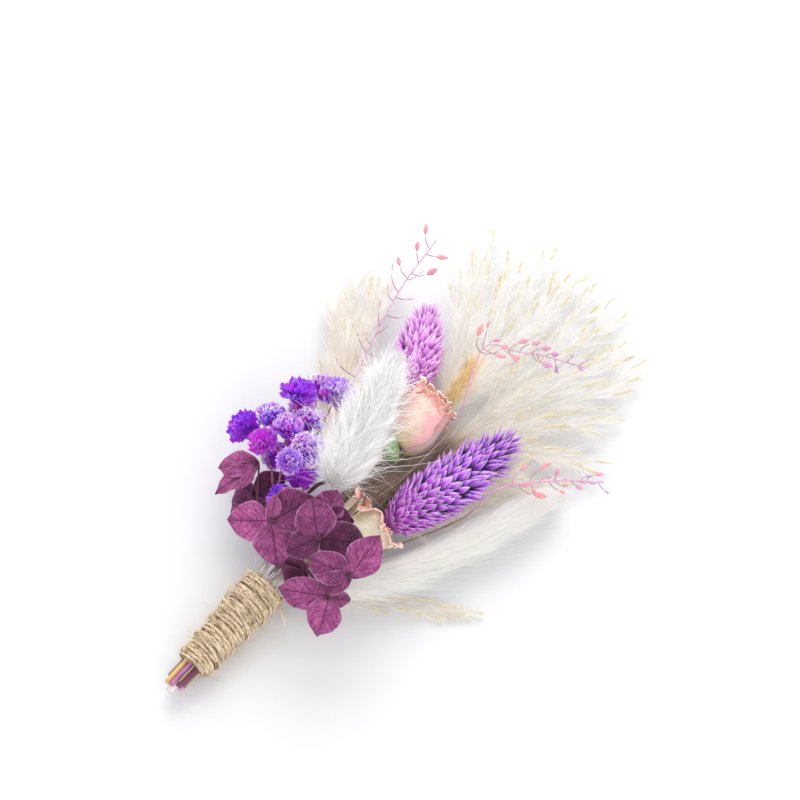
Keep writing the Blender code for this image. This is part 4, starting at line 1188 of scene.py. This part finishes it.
def podStalkFinish():
    f = Finish("pepperGrassStalks", 0.7, specular=0.25)
    lilac = f.mix(f.patches(0.8, 3.0, 0.35, 0.7), (0.62, 0.29, 0.53), (0.78, 0.46, 0.68))
    return f.finished(f.mix(*f.tags("tint"), (0.34, 0.24, 0.20), lilac), f.noise(0.4, 2.0))


# how red the pods are at the low and high end of a sprig, and how long they are there
pepperGrass = {
    "Back": {"node": "pepper_grass_back", "slot": 1, "start": 0.5, "reach": 7.6, "pods": 24, "red": (0.1, 0.4),
             "long": (0.7, 1.0), "ripe": 5, "bud": None,
             "beyond": [(-12, 45, 7.0), (-17.5, 66, 12), (-20.5, 75, 14.5), (-29, 103, 14), (-32.8, 124, 12)]},
    "Middle": {"node": "pepper_grass_middle", "slot": 6, "start": 0.79, "reach": 4.6, "pods": 16, "red": (1.0, 0.0),
               "long": (3.5, 2.2), "ripe": 0, "bud": ((2.2, 101.5, 18.0), (-0.9, 107.3, 18.0)),
               "beyond": [(2, 25, 10), (3.5, 40, 9), (8.5, 56, 11), (10.8, 68, 15.3), (10.8, 80, 16.3), (7.0, 89, 17.5),
                          (2.2, 101.5, 18), (4.2, 104.6, 18), (9.5, 106.8, 17.2), (15, 111.0, 15.8), (25.9, 117, 13)]},
    "Right": {"node": "pepper_grass_right", "slot": 5, "start": 0.80, "reach": 4.6, "pods": 15, "red": (0.95, 0.05),
              "long": (3.3, 2.0), "ripe": 0, "bud": None,
              "beyond": [(13, 35, 5), (19.0, 48, 3.2), (27.5, 63, 6.5), (30.8, 72.4, 13), (40, 83, 13),
                         (50.5, 92.9, 11)]},
}


def growPepperGrass(which, sprig, pods, stalks):
    role, start, ripe = ("pepper_grass_pink", sprig["node"]), sprig["start"], sprig["ripe"]
    line = smoothLine(slotRoute("thinRing", sprig["slot"], 5.0, sprig["beyond"]), 80)
    stem = tubeSheet(line, lambda t, turn: 0.34 * (1 - 0.45 * t) * (1 + 0.15 * np.sin(t * 120)), 8)
    layer = stem.verts.layers.float["along"]
    along = np.array([v[layer] for v in stem.verts])
    tagPoints(stem, tint=np.clip((along - start + 0.16) / 0.12, 0, 1))
    pieceFromSheets("pepperGrassStem" + which, [stem], role, stalks)

    count = sprig["pods"]
    t = start + (0.985 - start) * (np.arange(count) + dice.uniform(-0.8, 0.8, count)) / (count - 1)
    t = np.clip(t, 0, 0.99)
    point, ahead, side, top = alongLine(line, t)
    out = spoke(side, top, np.arange(count) * math.pi + dice.uniform(-1.2, 1.2, count), 0.6)
    grown = np.clip((t - start) / (1 - start), 0, 1)
    reach = sprig["reach"] * (1.1 - 0.5 * grown) * dice.uniform(0.45, 1.15, count)
    swing = dice.uniform(0.2, 0.9, count)
    mids = point + out * (reach * 0.55)[:, None] + ahead * (reach * 0.12)[:, None] + scatterAround(count, 0.2)
    tips = point + out * (reach * 0.85)[:, None] + ahead * (reach * swing)[:, None]
    red, long = (low + (high - low) * grown for low, high in (sprig["red"], sprig["long"]))
    red = np.clip(red + dice.uniform(-0.3, 0.3, count), 0, 1)
    long = long * dice.uniform(0.6, 1.25, count)
    slim = np.ones(count)
    if ripe:
        # the lower pods have dropped and left a thin sliver on each stalk
        slim[:-ripe] = 0.34
        long[:-ripe] *= 2.7
        red[-ripe:], long[-ripe:] = dice.uniform(0.6, 1.0, ripe), dice.uniform(2.9, 4.0, ripe)
    if sprig["bud"]:
        low, high = (np.array(end) for end in sprig["bud"])
        point, mids, tips = (np.vstack(pair) for pair in ((point, low), (mids, (low + high) / 2), (tips, high)))
        red, long, slim = np.append(red, 0.8), np.append(long, 3.0), np.append(slim, 0.7)
    hairs("pepperGrassPedicels" + which, (point, mids, tips), 0.19, (0.25, 0.8), role, stalks, strand4, 0.6)
    count = len(long)
    way = unit(tips - mids)
    across = unit(np.cross(way, upward + scatterAround(count, 0.35)))
    wide = long * slim * dice.uniform(0.18, 0.29, count)
    points = copies(podPattern, tips - way * 0.25, way * long[:, None], across * wide[:, None],
                    np.cross(way, across) * (long * slim * 0.14)[:, None])
    repeatedPiece("pepperGrassPods" + which, podPattern, points, {"tint": red}, role, pods)


podLook, podStalks = podFinish(), podStalkFinish()
for which, sprig in pepperGrass.items():
    growPepperGrass(which, sprig, podLook, podStalks)
print("pepper grass ready")


# plumes: side shoots along each branch, fine hairs along each shoot and tan ears at some of their ends

plumes = {
    "Back": {"node": "plume_back", "stem": ("thinRing", 3, 0.28, [(-0.5, 40, 2.6), (1.0, 66, 2.2), (1.5, 86, 3.0)]),
             "branches": [[(1.4, 80, 2.9), (0, 100, 4.3), (-10, 116, 5), (-21, 130, 4)],
                          [(1.45, 82, 2.95), (1, 102, 4.5), (-6, 121, 6), (-14, 136, 5)],
                          [(1.45, 84, 2.95), (4, 102, 4.5), (0, 121, 5), (-6, 139, 4)],
                          [(1.5, 84, 3.0), (5, 102, 5.5), (5, 121, 7), (3, 139, 5)],
                          [(1.2, 80, 2.9), (-4, 95, 3.8), (-12, 111, 4.8), (-20, 123, 4.5)]],
             "shoots": 15, "shootLong": [18.0] * 5, "hairs": 9200, "silk": 4000, "silkLong": 11.0, "ears": 0.74},
    "Side": {"node": "plume_side", "stem": ("thickRing", 4, 0.55, [(5.0, 40, 2.6), (9.0, 66, 2.4), (9.8, 84, 3.2)]),
             "branches": [[(9.6, 78, 3.0), (12, 100, 5.5), (13, 121, 6), (11, 139, 5)],
                          [(9.7, 80, 3.1), (15.5, 102, 4.5), (18, 121, 5), (18, 137, 4)],
                          [(9.6, 80, 3.0), (17, 99, 5.5), (24, 116, 6), (28, 130, 4)],
                          [(9.6, 78, 3.0), (19, 97, 4.5), (28, 111, 5), (33, 123, 4)],
                          [(9.5, 74, 3.0), (20, 90, 5.5), (29, 102, 6), (36, 108, 4)],
                          [(9.4, 71, 3.0), (20, 84, 5.0), (31, 92, 5), (40, 97, 4)],
                          [(9.2, 66, 3.0), (19, 73, 3.6), (29, 79, 4.2), (38, 85, 4)],
                          [(8.4, 50, 2.6), (18, 54, 3.0), (25, 67, 3.6), (30, 82, 4)]],
             "shoots": 14, "shootLong": [18.0, 18.0, 18.0, 16.5, 13.5, 10.5, 11.0, 12.0], "hairs": 11200,
             "silk": 3800, "silkLong": 10.5, "ears": 0.74},
    "Left": {"node": "plume_left", "stem": ("thinRing", 2, 0.28, [(-8, 32, 4.2), (-19.5, 64, 4.0)]),
             "branches": [[(-18.7, 60, 4.0), (-33, 86, 5), (-44, 102, 4)],
                          [(-18.9, 60, 4.0), (-29, 86, 6), (-37, 106, 5)],
                          [(-18.0, 58, 4.0), (-33, 80, 5), (-43, 91, 4)]],
             "shoots": 13, "shootLong": [14.5] * 3, "hairs": 7000, "silk": 2800, "silkLong": 11.0, "ears": 0.40},
}
goldTuft = {"root": (1.4, 83.0, 3.0), "bend": (1.8, 89.0, 7.5), "tip": (1.2, 98.5, 11.0), "spikelets": 90, "silk": 900}
whitePlume = {
    "band": [(6.5, 18.5, 4.3), (18.5, 31, 6), (29, 48.5, 6), (36.5, 67, 6), (40, 81, 5.5)],
    "wisp": [(7, 19, 4.3), (17, 25, 2.4), (31, 35, 1.8), (44, 43.5, 1.6)],
    "hairs": 15500, "long": 14.0, "collar": 320, "wispShoots": 16, "wispShootLong": 8.0, "wispHairs": 700,
}
# routes of the plume fibres round the stems under the roses, coloured dark as painted shade, with their number and
# spread
underneath = [([(4.2, 36, 2.8), (9.0, 66, 2.4), (9.8, 78, 3.2)], 1500, 1.9),
              ([(-1.5, 38, 2.8), (0.5, 66, 2.4), (1.5, 80, 3.0)], 900, 1.7),
              ([(3.0, 38, 6.5), (4.8, 52, 8.5), (6.5, 64, 8.5)], 1500, 1.8)]


def branchTubes(routes, count, width, fade):
    return [tubeSheet(smoothLine(route, count), lambda t, turn: width * (1 - fade * t), 6) for route in routes]


def growShoots(branches, count, longs):
    # root, middle and tip of each side shoot
    groups = []
    for route, long in zip(branches, longs):
        t = 0.15 + 0.83 * (np.arange(count) + dice.uniform(0, 0.8, count)) / count
        point, ahead, side, top = alongLine(smoothLine(route, 24), t)
        out = spoke(side, top, np.arange(count) % 2 * math.pi + dice.uniform(-0.8, 0.8, count), 0.55)
        size = (long * dice.uniform(0.65, 1.25, count) * (1 - 0.35 * t))[:, None]
        way = unit(ahead + out * dice.uniform(0.15, 0.55, count)[:, None])
        groups.append((point, point + way * (size / 2) + out * (size * 0.05), point + unit(way + ahead * 0.25) * size))
    shoots = joined(groups)
    liftOff(lowest["shoot"], *shoots)
    return shoots


def alongShoots(shoots, which, w):
    ends, w = [end[which] for end in shoots], w[:, None]
    roots, mids, tips = ends
    return bent(ends, w), unit((mids - roots) * (1 - w) + (tips - mids) * w)


def sweptHairs(point, ahead, long, open, tidy=0.35):
    # hairs that leave their place at an angle and sweep back to its direction
    count, long = len(point), long[:, None]
    out = unit(np.cross(ahead, dice.normal(0, 1, ahead.shape))) * np.array([1.0, 1.0, 0.6])
    clump = rippleFlow(point + out, 2.4, 11, 0.5)
    way = unit(ahead + out * dice.uniform(0.08, open, count)[:, None] + clump * 0.38 + scatterAround(count, 0.05))
    mids = point + way * (long * 0.5) + out * (long * 0.04)
    tips = point + unit(way + ahead * tidy + scatterAround(count, 0.12)) * long
    liftOff(lowest["sweptHair"], point, mids, tips)
    return point, mids, tips


def plumeEars(name, shoots, chosen, role, finish, each=10, low=0.64, size=(1.9, 3.2), open=0.34):
    # slim tan spikelets in short ears, each with a fine awn
    count = len(chosen) * each
    w = np.tile(np.linspace(low, 1.0, each), len(chosen)) + dice.uniform(-0.015, 0.015, count)
    point, ahead = alongShoots(shoots, np.repeat(chosen, each), w)
    out = unit(np.cross(ahead, dice.normal(0, 1, ahead.shape)))
    way = unit(ahead + out * dice.uniform(0.05, open, count)[:, None])
    long = dice.uniform(*size, count)[:, None]
    across = np.cross(way, out)
    points = copies(seedPattern, point, way * long, across * 0.25, np.cross(way, across) * 0.2)
    liftOff(lowest["ear"], points)
    tint = np.repeat(dice.uniform(0, 1, len(chosen)), each)
    repeatedPiece(name + "Ears", seedPattern, points, {"tint": tint}, role, finish)
    awns = sweptHairs(point + way * (long * 0.8), way, dice.uniform(1.5, 4.5, count), 0.2)
    hairs(name + "Awns", awns, 0.028, tint * 0.4, role, finish, strand2)


def growPlume(which, plume, cream, tan, straw):
    role, branches = ("plume_cream", plume["node"]), plume["branches"]
    ring, number, width, beyond = plume["stem"]
    stem = stemSheet(slotRoute(ring, number, 5.0, beyond), width, 8)
    pieceFromSheets("plumeStalks" + which, [stem, *branchTubes(branches, 30, 0.22, 0.75)], role, straw)

    shoots = growShoots(branches, plume["shoots"], plume["shootLong"])
    number = len(shoots[0])
    hairs("plumeShoots" + which, shoots, 0.07, (0.0, 0.8), role, tan, strand4, 0.35)
    count = plume["hairs"]
    w = dice.beta(1.0, 1.35, count) * 0.98
    point, ahead = alongShoots(shoots, dice.integers(0, number, count), w)
    groups = [sweptHairs(point, ahead, dice.gamma(7.0, 1 / 7.0, count) * (7.2 - 4.3 * w), 0.65)]
    for route in branches:
        count = plume["silk"] // len(branches)
        t = dice.beta(1.0, 1.25, count) * 0.985
        point, ahead, side, top = alongLine(smoothLine(route, 24), t)
        long = plume["silkLong"] * dice.gamma(7.0, 1 / 7.0, count) * (1 - 0.5 * t * t)
        groups.append(sweptHairs(point + scatterAround(count, 0.2), ahead, long, 0.6))
    lines = joined(groups)
    count = len(lines[0])
    streak = drawnEither(count, 0.24, (0.9, 1.7), lambda: dice.uniform(0, 0.6, count))
    hairs("plumeHairs" + which, lines, (0.020, 0.042), streak, role, cream, strand2)
    chosen = np.nonzero(dice.uniform(0, 1, number) < plume["ears"])[0]
    plumeEars("plume" + which, shoots, chosen, role, tan)


def growUnderneath(shadedFibres):
    groups = []
    for route, count, spread in underneath:
        point, ahead, side, top = alongLine(smoothLine(route, 20), dice.uniform(0, 1, count))
        start = point + side * dice.normal(0, spread, count)[:, None] + top * dice.uniform(-1.2, 1.6, count)[:, None]
        groups.append(sweptHairs(start, ahead, dice.gamma(8.0, 0.9, count) + 1.0, 0.35))
    hairs("plumeUnderFibres", joined(groups), (0.04, 0.09), (0, 1), ("plume_cream", "plume_side", "plume_back"), shadedFibres)


def growGoldTuft(gold):
    role = ("plume_cream", "plume_back")
    ends = [np.array([goldTuft[end]]) for end in ("root", "bend", "tip")]
    hairs("goldTuftStem", ends, 0.16, 0.0, role, gold, strand4)
    plumeEars("goldTuft", ends, np.array([0]), role, gold, goldTuft["spikelets"], 0.40, (2.2, 4.6), 1.0)
    count = goldTuft["silk"]
    point, ahead = alongShoots(ends, np.zeros(count, int), dice.uniform(0.25, 1.0, count))
    soft = sweptHairs(point + scatterAround(count, 0.8), ahead, dice.uniform(2.5, 7.0, count), 1.2, 0.2)
    hairs("goldTuftSilk", soft, (0.03, 0.06), (0, 1), role, gold, strand2)


def growWhitePlume(silver, cream, tan, straw):
    role = ("plume_silver", "plume_white")
    count = whitePlume["hairs"]
    t = dice.uniform(0, 1, count) ** 0.92 * 0.95
    point, ahead, side, top = alongLine(smoothLine(whitePlume["band"], 40), t)
    out = spoke(side, top, dice.uniform(0, fullTurn, count), 0.6)
    roots = point + out * dice.uniform(0.2, 2.4, count)[:, None]
    long = whitePlume["long"] * dice.gamma(8.0, 1 / 8.0, count) * (0.6 + 0.5 * np.sin(math.pi * np.clip(t + 0.1, 0, 1)))
    open = dice.uniform(0.05, 0.48, count) * (1 - 0.35 * t)
    flow = rippleFlow(roots, 6.0, 21, 0.5)
    way = unit(ahead + out * open[:, None] + flow * 0.22 + scatterAround(count, 0.05))
    tips = roots + unit(way + ahead * 0.5 + scatterAround(count, 0.10)) * long[:, None]
    # silky hairs that spring from the top of the twine
    spring = whitePlume["collar"]
    seat = np.stack([dice.uniform(-3.5, 5.5, spring), np.full(spring, 14.2), dice.uniform(3.0, 11.0, spring)], axis=1)
    lifted = unit(np.array([0.0, 1.0, 0.12]) + scatterAround(spring, 0.30))
    size = dice.uniform(4.0, 9.5, spring)[:, None]
    lines = joined([(roots, roots + way * (long * 0.5)[:, None], tips),
                    (seat, seat + lifted * size * 0.5, seat + unit(lifted + scatterAround(spring, 0.25)) * size)])
    liftOff(lowest["sweptHair"], *lines)
    hairs("whitePlumeHairs", lines, (0.020, 0.045), (0, 0.6), role, silver, strand2)

    stem = stemSheet(slotRoute("thinRing", 4, 5.0, [(8, 20, 4.6)]), 0.28, 8)
    tubes = branchTubes([whitePlume["band"], whitePlume["wisp"]], 40, 0.26, 0.7)
    pieceFromSheets("whitePlumeStalks", [stem, *tubes], role, straw)
    count, number = whitePlume["wispHairs"], whitePlume["wispShoots"]
    shoots = growShoots([whitePlume["wisp"]], number, [whitePlume["wispShootLong"]])
    hairs("creamWispShoots", shoots, 0.07, 0.4, role, cream, strand4)
    plumeEars("creamWisp", shoots, np.arange(3, number), role, tan, 7, 0.5)
    point, ahead = alongShoots(shoots, dice.integers(0, number, count), dice.uniform(0, 1, count))
    soft = sweptHairs(point, ahead, dice.uniform(2.0, 5.0, count), 0.6)
    hairs("creamWispHairs", soft, 0.025, (0, 0.8), role, cream, strand2)


def growPlumes():
    cream = hairFinish("plumeCreamHairs", (0.85, 0.75, 0.65), (0.945, 0.905, 0.855), (0.975, 0.97, 0.955),
                       (0.72, 0.61, 0.48), 0.60, 0.20, (0.955, 0.957, 0.955))
    silver = hairFinish("plumeWhiteHairs", (0.90, 0.88, 0.84), (0.95, 0.94, 0.92), (0.97, 0.96, 0.95),
                        (0.80, 0.77, 0.72), 0.4, 0.16)
    tan = hairFinish("plumeSpikelets", (0.62, 0.54, 0.34), (0.76, 0.68, 0.46), (0.88, 0.82, 0.66),
                     (0.50, 0.42, 0.22), 0.5, 0.08)
    gold = hairFinish("plumeGold", (0.76, 0.54, 0.22), (0.88, 0.69, 0.38), (0.95, 0.84, 0.62),
                      (0.70, 0.46, 0.18), 0.5, 0.18)
    # dark taupe hairs: painted shade for the plume fibres in the shadow under the roses
    shadedFibres = hairFinish("plumePaintedShade", (0.46, 0.31, 0.22), (0.68, 0.51, 0.39), (0.88, 0.76, 0.65), (0.20, 0.12, 0.075))
    straw = stemFinish("plumeStraw", (0.84, 0.77, 0.60), (0.66, 0.55, 0.36), -19.95, (0.90, 0.86, 0.78))
    for which, plume in plumes.items():
        growPlume(which, plume, cream, tan, straw)
    growWhitePlume(silver, cream, tan, straw)
    growGoldTuft(gold)
    growUnderneath(shadedFibres)


growPlumes()
print("plumes ready")


# the plain view transform keeps the pale paper white and the dyes bright
bpy.context.scene.view_settings.view_transform = "Standard"
